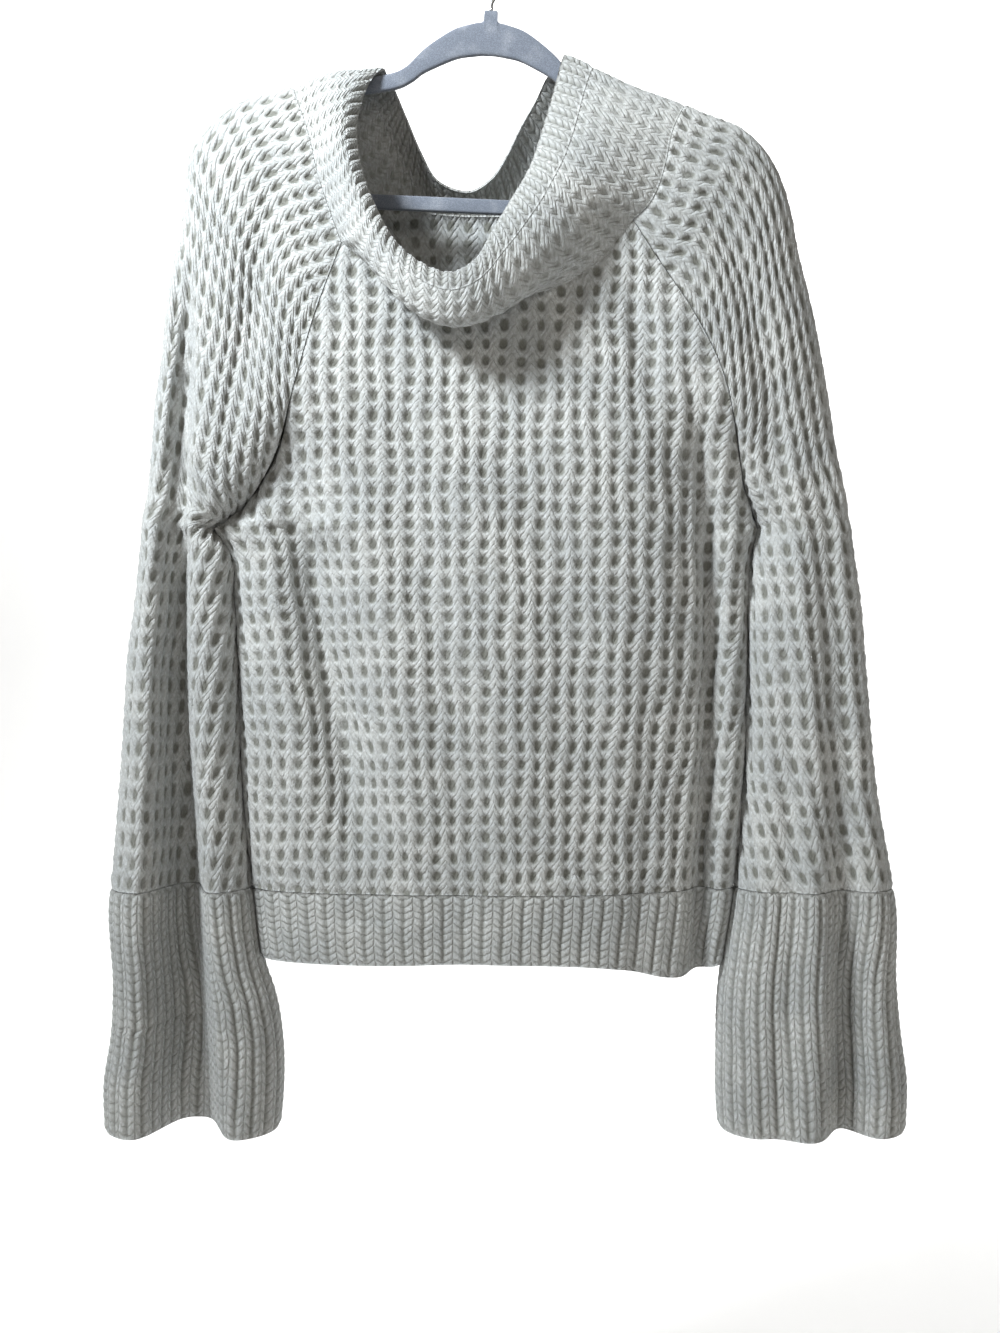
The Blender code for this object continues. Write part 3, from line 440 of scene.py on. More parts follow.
def sleeve_half(face, side, w):
    """Half of a sleeve's section, from the raglan at a share w to the outer line."""
    inset = np.array([SEAM_GAP if side == "left" else -SEAM_GAP, 0])
    start = along(RAGLAN[face, side], w) + inset
    clear = NECK_CLEAR * (1 - w)
    end = along(to_underarm(side), w**SHOULDER_CROWDING + clear)
    bend = SLEEVE_TOP[side]
    fade = (1 - w) ** 3 if face == "front" else 0
    return lifted(face, side, between(start, end, bend, fade))


def sleeve_row(side, w):
    """Both halves of a sleeve's section above the underarm, each from its raglan outwards."""
    return sleeve_half("front", side, w), sleeve_half("back", side, w)


def level_half(face, region, z):
    """Half of a level section below the underarm, towards +X. z is one height or one a point."""
    z = np.broadcast_to(z, ROW_SHARES.shape)
    low, high = edges(face, region, z)
    row = lifted(face, region, np.stack([low + (high - low) * ROW_SHARES, z], -1))
    if region == "body":
        away = -1 if face == "front" else 1
        row[:, 1] = away * np.maximum(away * row[:, 1], SEAM_GAP / 2)
    return row


def level_row(side, z):
    """Both halves of a sleeve's section below the underarm, each from its inner edge outwards."""
    front, back = level_half("front", side, z), level_half("back", side, z)
    return (front, back) if side == "left" else (front[::-1], back[::-1])


def joined(side, halves):
    """One row round a sleeve from its two halves, towards +X on the front."""
    front, back = halves
    if side == "left":
        return np.concatenate([front, back[-2::-1]])
    return np.concatenate([back, front[-2::-1]])


def body_row(face, z):
    """The front towards +X, or the back towards -X, below the underarm."""
    row = level_half(face, "body", z)
    return row if face == "front" else row[::-1]


def hem_row(face, share):
    """A row of the hem rib, at a share of the way from its seam to its wavy end."""
    end = np.array(HEM_END)
    low, high = edges(face, "body", np.full(ROW_POINTS, RIB_SEAM_Z))
    bottom = spline(low + (high - low) * ROW_SHARES, end[:, 0], end[:, 1])
    top = RIB_SEAM_Z - SEAM_GAP / 2
    return body_row(face, top + (bottom - top) * share)


def neck_point(piece, share):
    """A point of the neck seam, on the outer face of the piece that the collar is sewn to."""
    share = np.atleast_1d(share)
    if piece in ("front", "back"):
        return lifted(piece, "body", along(NECK[piece], share))
    side, face = piece.split()
    if face == "front":
        return lifted(face, side, along(SLEEVE_TOP[side], share))
    start, end = along(RAGLAN[face, side], 0.0), along(OUTER[side], 0.0)
    return lifted(face, side, start + (end - start) * share[:, None])


def collar_stations():
    """The collar's sections as columns: how far round the neck, the edge and the swell."""
    places, values = [], []
    for piece, share, *rest in COLLAR:
        run = 1 - share if piece in NECK_RUNS_BACK else share
        places.append(NECK_ORDER.index(piece) + run)
        values.append(rest)
    return np.array(places), np.array(values)


def round_spline(at, values):
    """A smooth value at each place on a closed round of sections."""
    count = len(values)
    i = np.floor(at).astype(int)
    t = (at - i)[:, None]
    a, b, c, d = (values[(i + k) % count] for k in (-1, 0, 1, 2))
    return b + t * (c - a + t * (2 * a - 5 * b + 4 * c - d + t * (3 * (b - c) + d - a))) / 2


def collar_columns(at):
    """The seam, the edge and the swell of the collar, at places counted in sections."""
    places, values = collar_stations()
    rest = round_spline(at, values)
    lap = len(NECK_ORDER)
    knots = np.concatenate([places - lap, places, places + lap])
    index = np.arange(-len(places), 2 * len(places))
    where = np.interp(at, index, knots) % lap
    seam = np.zeros((len(at), 3))
    for k, piece in enumerate(NECK_ORDER):
        mine = np.floor(where).astype(int) == k
        run = where[mine] - k
        share = 1 - run if piece in NECK_RUNS_BACK else run
        if mine.any():
            seam[mine] = neck_point(piece, share)[:, :3]
    return seam, rest[:, :3], rest[:, 3:]


def collar_points(at, heights):
    """The collar's outer face: a row for each share of its height, a column for each place."""
    at = np.mod(at, len(COLLAR))
    seam, edge, swell = collar_columns(at)
    away = np.stack([np.zeros(len(at)), np.sign(seam[:, 1]), np.zeros(len(at))], -1)
    near = np.clip(np.abs(seam[:, 1]) / BOARD_HALF / 4, 0, 1)[:, None]
    seam = seam + COLLAR_LIFT * (away * near + np.array([0, 0, 1]) * (1 - near))
    rows = []
    for t in heights:
        row = seam + (edge - seam) * t
        row[:, 1] += swell[:, 0] * math.sin(math.pi * t) * (SWELL_LOW + SWELL_GROWS * t)
        row[:, 2] += swell[:, 1] * math.sin(math.pi * t**SWELL_EARLY) ** 2
        rows.append(row)
    return np.array(rows)


def collar_grid(at, heights):
    """The collar's outer face with its unit normals, its rows from the edge to the seam."""
    heights = np.asarray(heights)
    inside = np.clip(heights, HEIGHT_STEP, 1 - HEIGHT_STEP)
    up = collar_points(at, inside + HEIGHT_STEP) - collar_points(at, inside - HEIGHT_STEP)
    round_it = collar_points(at + SECTION_STEP, heights)
    round_it = round_it - collar_points(at - SECTION_STEP, heights)
    out = np.cross(round_it, up)
    out /= np.linalg.norm(out, axis=2, keepdims=True)
    return np.concatenate([collar_points(at, heights), out], axis=2)[::-1]


def collar_places_by_length(count):
    """Places that are evenly spaced along the collar's edge."""
    start = [row[:2] for row in COLLAR].index(("left front", 1.00))
    fine = start + np.linspace(0, len(COLLAR), COLLAR_EDGE_POINTS)
    seam, edge = collar_points(fine, [0, 1 - BAND_SHARE / 2])
    run = lengths(seam) + lengths(edge)
    return np.interp(np.linspace(0, run[-1], count + 1), run, fine)


def grid_index(rows, columns, closed_from):
    """The number of each point. From the row closed_from down, the last column is the first."""
    index = np.arange(rows * columns).reshape(rows, columns)
    if closed_from is not None:
        index[closed_from:, -1] = index[closed_from:, 0]
    return index


# The knits: the size of a cell and of a stitch
CELL_WIDE = 0.0140  # above FULL_CELL_Z, and less from there down to the hem
CELL_WIDE_AT_HEM = 0.0120
FULL_CELL_Z = -0.5
CELL_TALL = 0.0137
SLEEVE_CELL_WIDE = 0.0122
SLEEVE_CELL_TALL = 0.0165
COLLAR_CELLS = 72
COLLAR_CELL_TALL = 0.0100
COLLAR_SHALLOWER = 0.55  # the collar's cells are smaller and less deep
CUFF_STITCH = 0.0072
HEM_STITCH = 0.0056
BAND_STITCH = 0.0054

# How the waffle knit rises and sinks. Widths and heights inside a cell are shares of it
KNIT_RISE = 0.0017
BAR_RISE = 0.30  # how high the bars between pits stand, as a share of the wales
PIT_DEPTH = 0.0034
PIT_WIDE = 0.255
PIT_UNEVEN = 0.22
PIT_TALL = 0.33
PIT_SQUARE = 3.4  # a higher power gives squarer pits
DIMPLE_DEPTH = 0.0007
DIMPLE_WIDE = 0.09
DIMPLE_TALL = 0.24
DIMPLE_SHADE = 0.45
LEG_RISE = 0.00032
LEG_WIDE = 0.26
LEG_SLANT = 2.9

# How the rib knits do: where a groove starts, as a share of half a rib, and its depth
CUFF_RIB = (0.45, 0.0026)
HEM_RIB = (0.62, 0.0020)
BAND_RIB = (0.40, 0.0020)
RIB_MIDDLE_SHARE = 0.55  # how much of the depth lies above the plain cloth
RIB_SLANT = 0.8
RIB_LEGS = 0.8  # the legs' rise on a rib, as a share of theirs on the waffle
CREASE_DEPTH = 0.7  # the crease between the legs in the same measure
CREASE_WIDE = 0.12
CREASE_SHADE = 0.2

# How a knit lies on its piece
SEAM_FADE = 0.0035  # the relief fades out this near to a seam
WOBBLE = 0.065
RIB_WOBBLE = 0.012
BODY_TO_SLEEVE = 0.0018  # how near a sleeve hangs to the body
SEAM_SMOOTHING = 0.020  # the height over which the form is eased at the underarm
SMOOTHED_REACH = 2.5 * SEAM_SMOOTHING
INNER_WALL = 0.0022
RIB_INNER_WALL = 0.0018
INNER_RISE_SHARE = 0.7  # how much of a wale's rise shows inside, where the inside is fine too

# How fine each mesh is: the number of rows and columns
FRONT_MESH = (120, 176, 270)  # rows on the raglans, rows below them, columns
BACK_MESH = (90, 130, 200)
SLEEVE_MESH = (140, 150, 84)
CUFF_MESH = (100, 12)  # rows, and columns a rib
HEM_MESH = (32, 12)
COLLAR_MESH = (62, 460)
BAND_MESH = (16, 8)
INNER_STEP = 3

# Softer creases that the photograph shows and the solids leave out, and like ones behind
CREASES = [
    ("front", "body", 2, [
        (-0.3, -0.02, 0, 0.03), (-0.38, 0.01, 0.003, 0.03), (-0.52, 0.05, 0.005, 0.028),
        (-0.7, 0.07, 0.003, 0.026),
    ]),
    ("front", "body", 2, [
        (-0.33, -0.075, 0, 0.02), (-0.45, -0.06, 0.004, 0.022), (-0.65, -0.03, 0.004, 0.024),
        (-0.8, -0.03, 0.003, 0.024),
    ]),
    ("front", "body", 2, [
        (-0.48, 0.115, 0, 0.014), (-0.6, 0.118, 0.005, 0.014), (-0.735, 0.112, 0.006, 0.014),
        (-0.81, 0.11, 0.005, 0.014),
    ]),
    ("front", "right", 2, [
        (-0.18, -0.168, 0, 0.012), (-0.24, -0.176, 0.004, 0.013), (-0.33, -0.188, 0.006, 0.013),
        (-0.43, -0.206, 0, 0.01),
    ]),
    ("front", "right", 2, [
        (-0.4, -0.228, 0, 0.014), (-0.5, -0.231, 0.01, 0.017), (-0.66, -0.234, 0.012, 0.018),
        (-0.82, -0.234, 0.002, 0.016),
    ]),
    ("front", "body", 2, [
        (-0.38, -0.146, 0, 0.018), (-0.48, -0.128, 0.01, 0.026), (-0.62, -0.106, 0.013, 0.028),
        (-0.735, -0.092, 0.003, 0.024),
    ]),
    ("front", "body", 2, [
        (-0.3, 0.12, 0, 0.012), (-0.46, 0.142, 0.006, 0.013), (-0.7, 0.138, 0.008, 0.014),
        (-0.81, 0.134, 0.006, 0.014),
    ]),
    ("front", "left", 2, [
        (-0.19, 0.16, 0, 0.014), (-0.26, 0.186, 0.004, 0.014), (-0.36, 0.206, 0.006, 0.013),
        (-0.5, 0.216, 0.004, 0.012), (-0.7, 0.222, 0.007, 0.012), (-0.919, 0.214, 0.008, 0.014),
    ]),
    ("back", "body", 2, [
        (-0.26, -0.01, 0, 0.026), (-0.38, -0.02, 0.004, 0.026), (-0.56, -0.036, 0.005, 0.024),
        (-0.735, -0.04, 0.003, 0.024),
    ]),
    ("back", "right", 2, [
        (-0.2, -0.17, 0, 0.014), (-0.29, -0.186, 0.005, 0.014), (-0.4, -0.204, 0, 0.012),
    ]),
    ("back", "left", 2, [
        (-0.22, 0.172, 0, 0.014), (-0.33, 0.192, 0.005, 0.014), (-0.45, 0.21, 0, 0.012),
    ]),
]
FOLDS += CREASES


def nearer(right_sleeve, right_body, left_body, left_sleeve):
    """The edges of a sleeve and the body moved together to the gap that they hang at."""
    found = []
    for low, high in ((right_sleeve, right_body), (left_body, left_sleeve)):
        middle, half = (low + high) / 2, (high - low) / 2
        half = min(half, BODY_TO_SLEEVE / 2) if half > 0 else half
        found += [middle - half, middle + half]
    return found


SIDE_EDGES = [(row[0], *nearer(*row[1:])) for row in SIDE_EDGES]


def run_along(grid, columns=(0, 1, 2)):
    """How far along each row its points are."""
    steps = np.diff(grid[..., list(columns)], axis=1)
    run = np.cumsum(np.linalg.norm(steps, axis=2), axis=1)
    return np.concatenate([np.zeros((len(grid), 1)), run], axis=1)


def run_down(grid):
    """How far down the piece each row is, as a mean over its points."""
    steps = np.linalg.norm(np.diff(grid[..., :3], axis=0), axis=2).mean(axis=1)
    return np.concatenate([[0], np.cumsum(steps)])


def wobbled(u, v, much):
    """Knit coordinates that wander a little, as stitches do, in waves that hardly repeat."""
    return (
        u + much * np.sin(0.7 * u + 1.3 * v) + much * np.sin(1.9 * u - 0.8 * v + 1),
        v + much * np.sin(1.1 * u + 0.5 * v + 2) + much * np.sin(0.6 * u - 1.7 * v),
    )


def unevenness(u, v):
    """A number from -1 to 1 for each cell."""
    value = np.sin(np.floor(u) * 12.9898 + np.floor(v) * 78.233) * 43758.5453
    return 2 * (value - np.floor(value)) - 1


def waffle(u, v):
    """The rise of a waffle knit and how hollow it is, at coordinates counted in cells. The hollow
    value is painted as shade in the pits and dimples.
    """
    across = np.abs(u - np.floor(u) - 0.5)
    up = np.abs(v - np.floor(v) - 0.5)
    wide = PIT_WIDE * (1 + PIT_UNEVEN * unevenness(u, v))
    pit = np.exp(-((across / wide) ** PIT_SQUARE + (up / PIT_TALL) ** PIT_SQUARE))
    wale = 0.5 - across
    legs = np.cos(2 * math.pi * (2 * v - LEG_SLANT * wale)) * np.exp(-((wale / LEG_WIDE) ** 4))
    dimple = np.exp(-((wale / DIMPLE_WIDE) ** 2 + ((0.5 - up) / DIMPLE_TALL) ** 2))
    ridge = BAR_RISE + (1 - BAR_RISE) * np.cos(math.pi * wale) ** 2
    rise = KNIT_RISE * ridge - (PIT_DEPTH - KNIT_RISE * (1 - BAR_RISE)) * pit
    rise = rise + LEG_RISE * legs - DIMPLE_DEPTH * dimple
    return rise, np.clip(pit + DIMPLE_SHADE * dimple, 0, 1)


def shallow_waffle(u, v):
    rise, hollow = waffle(u, v)
    return rise * COLLAR_SHALLOWER, hollow * COLLAR_SHALLOWER


def ribs(u, v, groove_start, sunk):
    """The rise of a rib knit and how hollow it is, its coordinates in ribs and stitches. The hollow
    value is painted as shade in the grooves and creases.
    """
    aside = np.abs(u - np.floor(u) - 0.5) * 2
    groove = smooth(groove_start, 1, aside)
    legs = np.cos(2 * math.pi * (v - RIB_SLANT * aside)) * (1 - groove)
    crease = np.exp(-((aside / CREASE_WIDE) ** 2))
    rise = RIB_MIDDLE_SHARE * sunk - sunk * groove
    rise = rise + LEG_RISE * (RIB_LEGS * legs - CREASE_DEPTH * crease)
    return rise, np.clip(groove + CREASE_SHADE * crease, 0, 1)


def shell_faces(index, inside, picked_rows, picked_columns, open_rows):
    """The closing faces round a shell whose inside is coarser than its outside."""
    faces = []
    for r, inner in ((0, 0), (index.shape[0] - 1, -1)):
        for k in range(len(picked_columns) - 1):
            a, b = picked_columns[k], picked_columns[k + 1]
            edge = [(index[r, c], r, c) for c in range(a, b + 1)]
            edge += [(inside[inner, k + 1], r, b), (inside[inner, k], r, a)]
            faces.append(edge if r == 0 else edge[::-1])
    for k in range(len(picked_rows) - 1):
        a, b = picked_rows[k], picked_rows[k + 1]
        if a >= open_rows:
            break
        for c, inner in ((0, 0), (index.shape[1] - 1, -1)):
            edge = [(index[r, c], r, c) for r in range(a, b + 1)]
            edge += [(inside[k + 1, inner], b, c), (inside[k, inner], a, c)]
            faces.append(edge[::-1] if c == 0 else edge)
    return faces


def picked(count, step, also=None):
    """Every step-th number below count, with the last and one more kept."""
    keep = set(range(0, count - 1, step)) | {count - 1}
    if also is not None:
        keep.add(also)
    return sorted(keep)


def quads(index, rows, columns):
    """Each quad's four points, and the rows and columns that they stand for."""
    r, c = np.meshgrid(np.arange(len(rows) - 1), np.arange(len(columns) - 1), indexing="ij")
    r, c = r.ravel(), c.ravel()
    corners = [(r, c), (r + 1, c), (r + 1, c + 1), (r, c + 1)]
    rows, columns = np.array(rows), np.array(columns)
    points = np.stack([index[a, b] for a, b in corners], -1)
    places = np.stack([np.stack([rows[a], columns[b]], -1) for a, b in corners], 1)
    return points, places


def placed(name, data):
    """A new object of that name and data, in the scene."""
    made = bpy.data.objects.new(name, data)
    bpy.context.scene.collection.objects.link(made)
    return made


def add_mesh(name, points, corners, sizes, coordinates, hollow, paint):
    """A smooth mesh from flat lists of corners, with knit coordinates at each corner."""
    mesh = bpy.data.meshes.new(name)
    mesh.vertices.add(len(points))
    mesh.vertices.foreach_set("co", points.ravel())
    mesh.loops.add(len(corners))
    mesh.loops.foreach_set("vertex_index", corners)
    mesh.polygons.add(len(sizes))
    mesh.polygons.foreach_set("loop_start", np.concatenate([[0], np.cumsum(sizes)[:-1]]))
    mesh.update(calc_edges=True)
    mesh.validate()
    mesh.uv_layers.new(name="knit").data.foreach_set("uv", coordinates.ravel())
    # The hollow value of each point, which the material paints as shade
    mesh.attributes.new("hollow", "FLOAT", "POINT").data.foreach_set("value", hollow)
    mesh.shade_smooth()
    mesh.materials.append(paint)
    return placed(name, mesh)


def turned_out(grid, closed_from):
    """The grid with unit normals from its own points, all on the side that they were on."""
    points = grid[..., :3]
    across = np.gradient(points, axis=1)
    if closed_from is not None:
        wrapped = points[closed_from:, 1] - points[closed_from:, -2]
        across[closed_from:, 0] = across[closed_from:, -1] = wrapped / 2
    out = np.cross(np.gradient(points, axis=0), across)
    out /= np.maximum(np.linalg.norm(out, axis=2, keepdims=True), 1e-12)
    if (out * grid[..., 3:]).sum() < 0:
        out = -out
    return np.concatenate([points, out], axis=2)


def eased_underarm(grid):
    """Depths smoothed up and down about the underarm, where sleeve and body round into one."""
    z = grid[..., 2].mean(axis=1)
    near = np.exp(-(((z - UNDERARM_Z) / SMOOTHED_REACH) ** 2))[:, None]
    weights = np.exp(-(((z[:, None] - z[None, :]) / SEAM_SMOOTHING) ** 2))
    smoother = weights @ grid[..., 1] / weights.sum(axis=1, keepdims=True)
    grid[..., 1] += (smoother - grid[..., 1]) * near
    return grid


def add_knit(name, grid, u, v, pattern, thick, paint, closed_from=None, step=INNER_STEP,
             wobble=WOBBLE):
    """A knitted piece: its outer face in full relief over an inside of every step-th point."""
    grid = turned_out(grid, closed_from)
    u, v = wobbled(u, v, wobble)
    rows, columns = grid.shape[:2]
    base, out = grid[..., :3], grid[..., 3:]
    open_rows = rows - 1 if closed_from is None else closed_from
    rise, hollow = pattern(u, v)
    aside = run_along(grid)
    aside = np.minimum(aside, aside[:, -1:] - aside)
    if closed_from is not None:
        aside[closed_from:] = 1
    below = np.abs(run_down(grid))
    below = np.minimum(below, below[-1] - below)[:, None]
    fade = smooth(0, SEAM_FADE, aside) * smooth(0, SEAM_FADE, below)
    index = grid_index(rows, columns, closed_from)
    outer = base + out * (rise * fade)[..., None]
    kept_rows = picked(rows, step, closed_from)
    kept_columns = picked(columns, step)
    inner = base - out * thick
    if step == 1:
        inner = inner - out * (np.maximum(rise, 0) * fade * INNER_RISE_SHARE)[..., None]
    inner = inner[np.ix_(kept_rows, kept_columns)]
    closed = None if closed_from is None else kept_rows.index(closed_from)
    inside = index.max() + 1 + grid_index(len(kept_rows), len(kept_columns), closed)
    points = np.zeros((inside.max() + 1, 3))
    shade = np.zeros(len(points))
    points[index[:, ::-1]] = outer[:, ::-1]
    # Painted shade: how hollow each point is, kept for the material to darken
    shade[index[:, ::-1]] = (hollow * fade)[:, ::-1]
    points[inside[:, ::-1]] = inner[:, ::-1]
    if step == 1:
        shade[inside[:, ::-1]] = (hollow * fade)[:, ::-1]
    used = np.zeros(len(points), bool)
    used[index.ravel()] = True
    used[inside.ravel()] = True
    renumber = np.cumsum(used) - 1
    outside, outside_at = quads(index, range(rows), range(columns))
    within, within_at = quads(inside, kept_rows, kept_columns)
    within, within_at = within[:, ::-1], within_at[:, ::-1]
    closing = shell_faces(index, inside, kept_rows, kept_columns, open_rows)
    closing = [face[::-1] for face in closing]
    corners = np.concatenate([
        outside.ravel(), within.ravel(), np.array([p for face in closing for p, _, _ in face])
    ])
    at = np.concatenate([
        outside_at.reshape(-1, 2), within_at.reshape(-1, 2),
        np.array([(r, c) for face in closing for _, r, c in face]),
    ])
    sizes = np.concatenate([
        np.full(len(outside) + len(within), 4), np.array([len(face) for face in closing])
    ])
    coordinates = np.stack([u[at[:, 0], at[:, 1]], v[at[:, 0], at[:, 1]]], -1)
    return add_mesh(
        name, points[used], renumber[corners].astype(np.int32), sizes.astype(np.int32),
        coordinates, shade[used], paint,
    )


def shares_down(count):
    """Shares of the raglans, from just clear of the neck seam down to the underarm."""
    return np.maximum(np.linspace(0, 1, count + 1)[:-1], NECK_CLEAR)


def heights_down(count):
    return np.linspace(UNDERARM_Z - SEAM_GAP, RIB_SEAM_Z + SEAM_GAP / 2, count + 1)


def knit_panel(face, size, paint):
    """The front or the back in waffle knit, its wales running straight down from the neck."""
    raglan_rows, low_rows, columns = size
    rows = [panel_row(face, w) for w in shares_down(raglan_rows)]
    if face == "back":
        rows = [row[::-1] for row in rows]
    rows += [body_row(face, z) for z in heights_down(low_rows)]
    grid = eased_underarm(np.array([evenly(row, columns) for row in rows]))
    run = run_along(grid, (0, 1))
    for k, row in enumerate(grid):
        order = np.argsort(row[:, 0])
        run[k] -= np.interp(0.0, row[order, 0], run[k, order])
    z = grid[..., 2]
    full = smooth(RIB_SEAM_Z, FULL_CELL_Z, z)
    wide = CELL_WIDE_AT_HEM + (CELL_WIDE - CELL_WIDE_AT_HEM) * full
    return add_knit(f"{face}_knit", grid, run / wide, -z / CELL_TALL, waffle, INNER_WALL, paint)


def knit_sleeve(side, size, paint):
    """A sleeve in waffle knit, its wales running down from the fold over the shoulder."""
    raglan_rows, low_rows, half = size
    rows = [sleeve_row(side, w) for w in shares_down(raglan_rows)]
    rows += [level_row(side, z) for z in heights_down(low_rows)]
    grid = np.array([joined(side, [evenly(part, half) for part in halves]) for halves in rows])
    grid = eased_underarm(grid)
    run = run_along(grid)
    run -= run[:, half : half + 1]
    v = np.broadcast_to((run_down(grid) / SLEEVE_CELL_TALL)[:, None], run.shape)
    return add_knit(f"sleeve_{side}_knit", grid, run / SLEEVE_CELL_WIDE, v, waffle, INNER_WALL,
                    paint, closed_from=raglan_rows)


def knit_rib(name, grid, count, stitch, shape, paint, closed_from=None, step=INNER_STEP):
    """A ribbed piece with that many ribs of that shape along its rows."""
    rows, columns = grid.shape[:2]
    u = np.broadcast_to(np.linspace(0, count, columns), (rows, columns))
    v = np.broadcast_to((run_down(grid) / stitch)[:, None], (rows, columns))
    return add_knit(name, grid, u, v, lambda u, v: ribs(u, v, *shape), RIB_INNER_WALL, paint,
                    closed_from, step, RIB_WOBBLE)


def knit_cuff(side, size, paint):
    """A deep cuff in a chunky rib whose stitches show."""
    rows, per_rib = size
    heights = np.linspace(RIB_SEAM_Z - SEAM_GAP / 2, CUFF_END_Z, rows)
    rings = [joined(side, level_row(side, z)) for z in heights]
    grid = np.array([evenly(ring, CUFF_RIBS * per_rib) for ring in rings])
    return knit_rib(f"cuff_{side}_knit", grid, CUFF_RIBS, CUFF_STITCH, CUFF_RIB, paint,
                    closed_from=0)


def knit_hem(face, size, paint):
    """The flat-topped rib of one panel's hem."""
    rows, per_rib = size
    grid = [evenly(hem_row(face, t), HEM_RIBS * per_rib) for t in np.linspace(0, 1, rows)]
    return knit_rib(f"{face}_hem_knit", np.array(grid), HEM_RIBS, HEM_STITCH, HEM_RIB, paint)


def knit_collar(size, band_size, paint, band_paint):
    """The cowl in waffle knit with its rib band, both in relief inside and out."""
    seam_at = 1 - BAND_SHARE
    rows, columns = size
    at = collar_places_by_length(columns)
    grid = collar_grid(at, np.linspace(COLLAR_START, seam_at - BAND_GAP / 2, rows))
    u = np.broadcast_to(np.linspace(0, COLLAR_CELLS, columns + 1), grid.shape[:2])
    v = np.broadcast_to((run_down(grid) / COLLAR_CELL_TALL)[:, None], grid.shape[:2])
    cowl = add_knit("cowl_knit", grid, u, v, shallow_waffle, INNER_WALL, paint,
                    closed_from=0, step=1)
    rows, per_rib = band_size
    at = collar_places_by_length(BAND_RIBS * per_rib)
    grid = collar_grid(at, np.linspace(seam_at + BAND_GAP / 2, 1, rows))
    band = knit_rib("cowl_band_knit", grid, BAND_RIBS, BAND_STITCH, BAND_RIB, band_paint,
                    closed_from=0, step=1)
    return cowl, band


def tilted(points):
    """Points of the hanger, turned with it on its rail."""
    x, y, z = points[..., 0], points[..., 1], points[..., 2]
    return np.stack([
        x * math.cos(TILT) + z * math.sin(TILT), y, z * math.cos(TILT) - x * math.sin(TILT)
    ], -1)


def add_tube(name, rings, closed, paint):
    """A smooth mesh through rings of points, closed on itself or capped."""
    count, sides = rings.shape[:2]
    index = np.arange(count * sides).reshape(count, sides)
    rows = np.concatenate([index, index[:1]]) if closed else index
    wrapped = np.concatenate([rows, rows[:, :1]], axis=1)
    faces = np.stack([wrapped[:-1, :-1], wrapped[1:, :-1], wrapped[1:, 1:], wrapped[:-1, 1:]], -1)
    faces = [list(face) for face in faces.reshape(-1, 4)]
    if not closed:
        faces += [list(index[0]), list(index[-1][::-1])]
    shape = bmesh.new()
    verts = [shape.verts.new(p) for p in rings.reshape(-1, 3)]
    for face in faces:
        shape.faces.new([verts[k] for k in face])
    bmesh.ops.recalc_face_normals(shape, faces=shape.faces)
    mesh = bpy.data.meshes.new(name)
    shape.to_mesh(mesh)
    shape.free()
    mesh.shade_smooth()
    mesh.materials.append(paint)
    return placed(name, mesh)


def round_board(paint):
    """The hanger's board with rounded edges."""
    outer, inner = np.array(BOARD_OUTER), np.array(BOARD_INNER)
    at = np.linspace(0, len(outer) - 1, BOARD_RINGS)
    lines = []
    for line in (outer, inner):
        half = np.stack([spline(at, np.arange(len(line)), line[:, k]) for k in (0, 1)], -1)
        lines.append(np.concatenate([half, half[-2:0:-1] * np.array([-1, 1])]))
    turn = np.linspace(0, 2 * math.pi, BOARD_SIDES, endpoint=False)
    across = (1 - signed_root(np.cos(turn), BOARD_EDGE_SQUARE)) / 2
    y = BOARD_HALF * signed_root(np.sin(turn), BOARD_FACE_SQUARE)
    flat = lines[0][:, None] + (lines[1] - lines[0])[:, None] * across[None, :, None]
    rings = np.stack([flat[..., 0], np.broadcast_to(y, flat.shape[:2]), flat[..., 1]], -1)
    return add_tube("velvet_board", tilted(rings), True, paint)


def round_hook(paint):
    """The wire hook, round and smooth, with a rounded tip."""
    radius = HOOK_INSIDE + WIRE_RADIUS
    sweep = np.radians(np.linspace(HOOK_START_DEGREES, HOOK_TIP_DEGREES, HOOK_ARC_POINTS))
    arc = [(radius * math.cos(a), -HOOK_INSIDE + radius * math.sin(a)) for a in sweep]
    share = np.linspace(0, 1, HOOK_RINGS)
    path = along(SHANK + arc, share)
    tangent = np.gradient(path, axis=0)
    tangent /= np.linalg.norm(tangent, axis=1, keepdims=True)
    side = np.stack([-tangent[:, 1], tangent[:, 0]], -1)
    from_end = np.clip((1 - share) * lengths(path)[-1] / WIRE_RADIUS, TIP_START, 1)
    thick = WIRE_RADIUS * np.sqrt(1 - (1 - from_end) ** 2)[:, None]
    turn = np.linspace(0, 2 * math.pi, HOOK_SIDES, endpoint=False)
    reach = thick * np.cos(turn)
    x, z = (path[:, k : k + 1] + side[:, k : k + 1] * reach for k in (0, 1))
    rings = np.stack([x, thick * np.sin(turn), z], -1)
    return add_tube("steel_hook", tilted(rings), False, paint)


def maths(tree, kind, *inputs):
    """A maths node's result, from numbers or other nodes' results."""
    node = tree.nodes.new("ShaderNodeMath")
    node.operation = kind
    for socket, value in zip(node.inputs, inputs):
        if isinstance(value, (int, float)):
            socket.default_value = value
        else:
            tree.links.new(value, socket)
    return node.outputs[0]


def eased(tree, value, low, high):
    """A smooth step from 0 at low to 1 at high."""
    node = tree.nodes.new("ShaderNodeMapRange")
    node.interpolation_type = "SMOOTHSTEP"
    tree.links.new(value, node.inputs["Value"])
    node.inputs["From Min"].default_value = low
    node.inputs["From Max"].default_value = high
    return node.outputs["Result"]


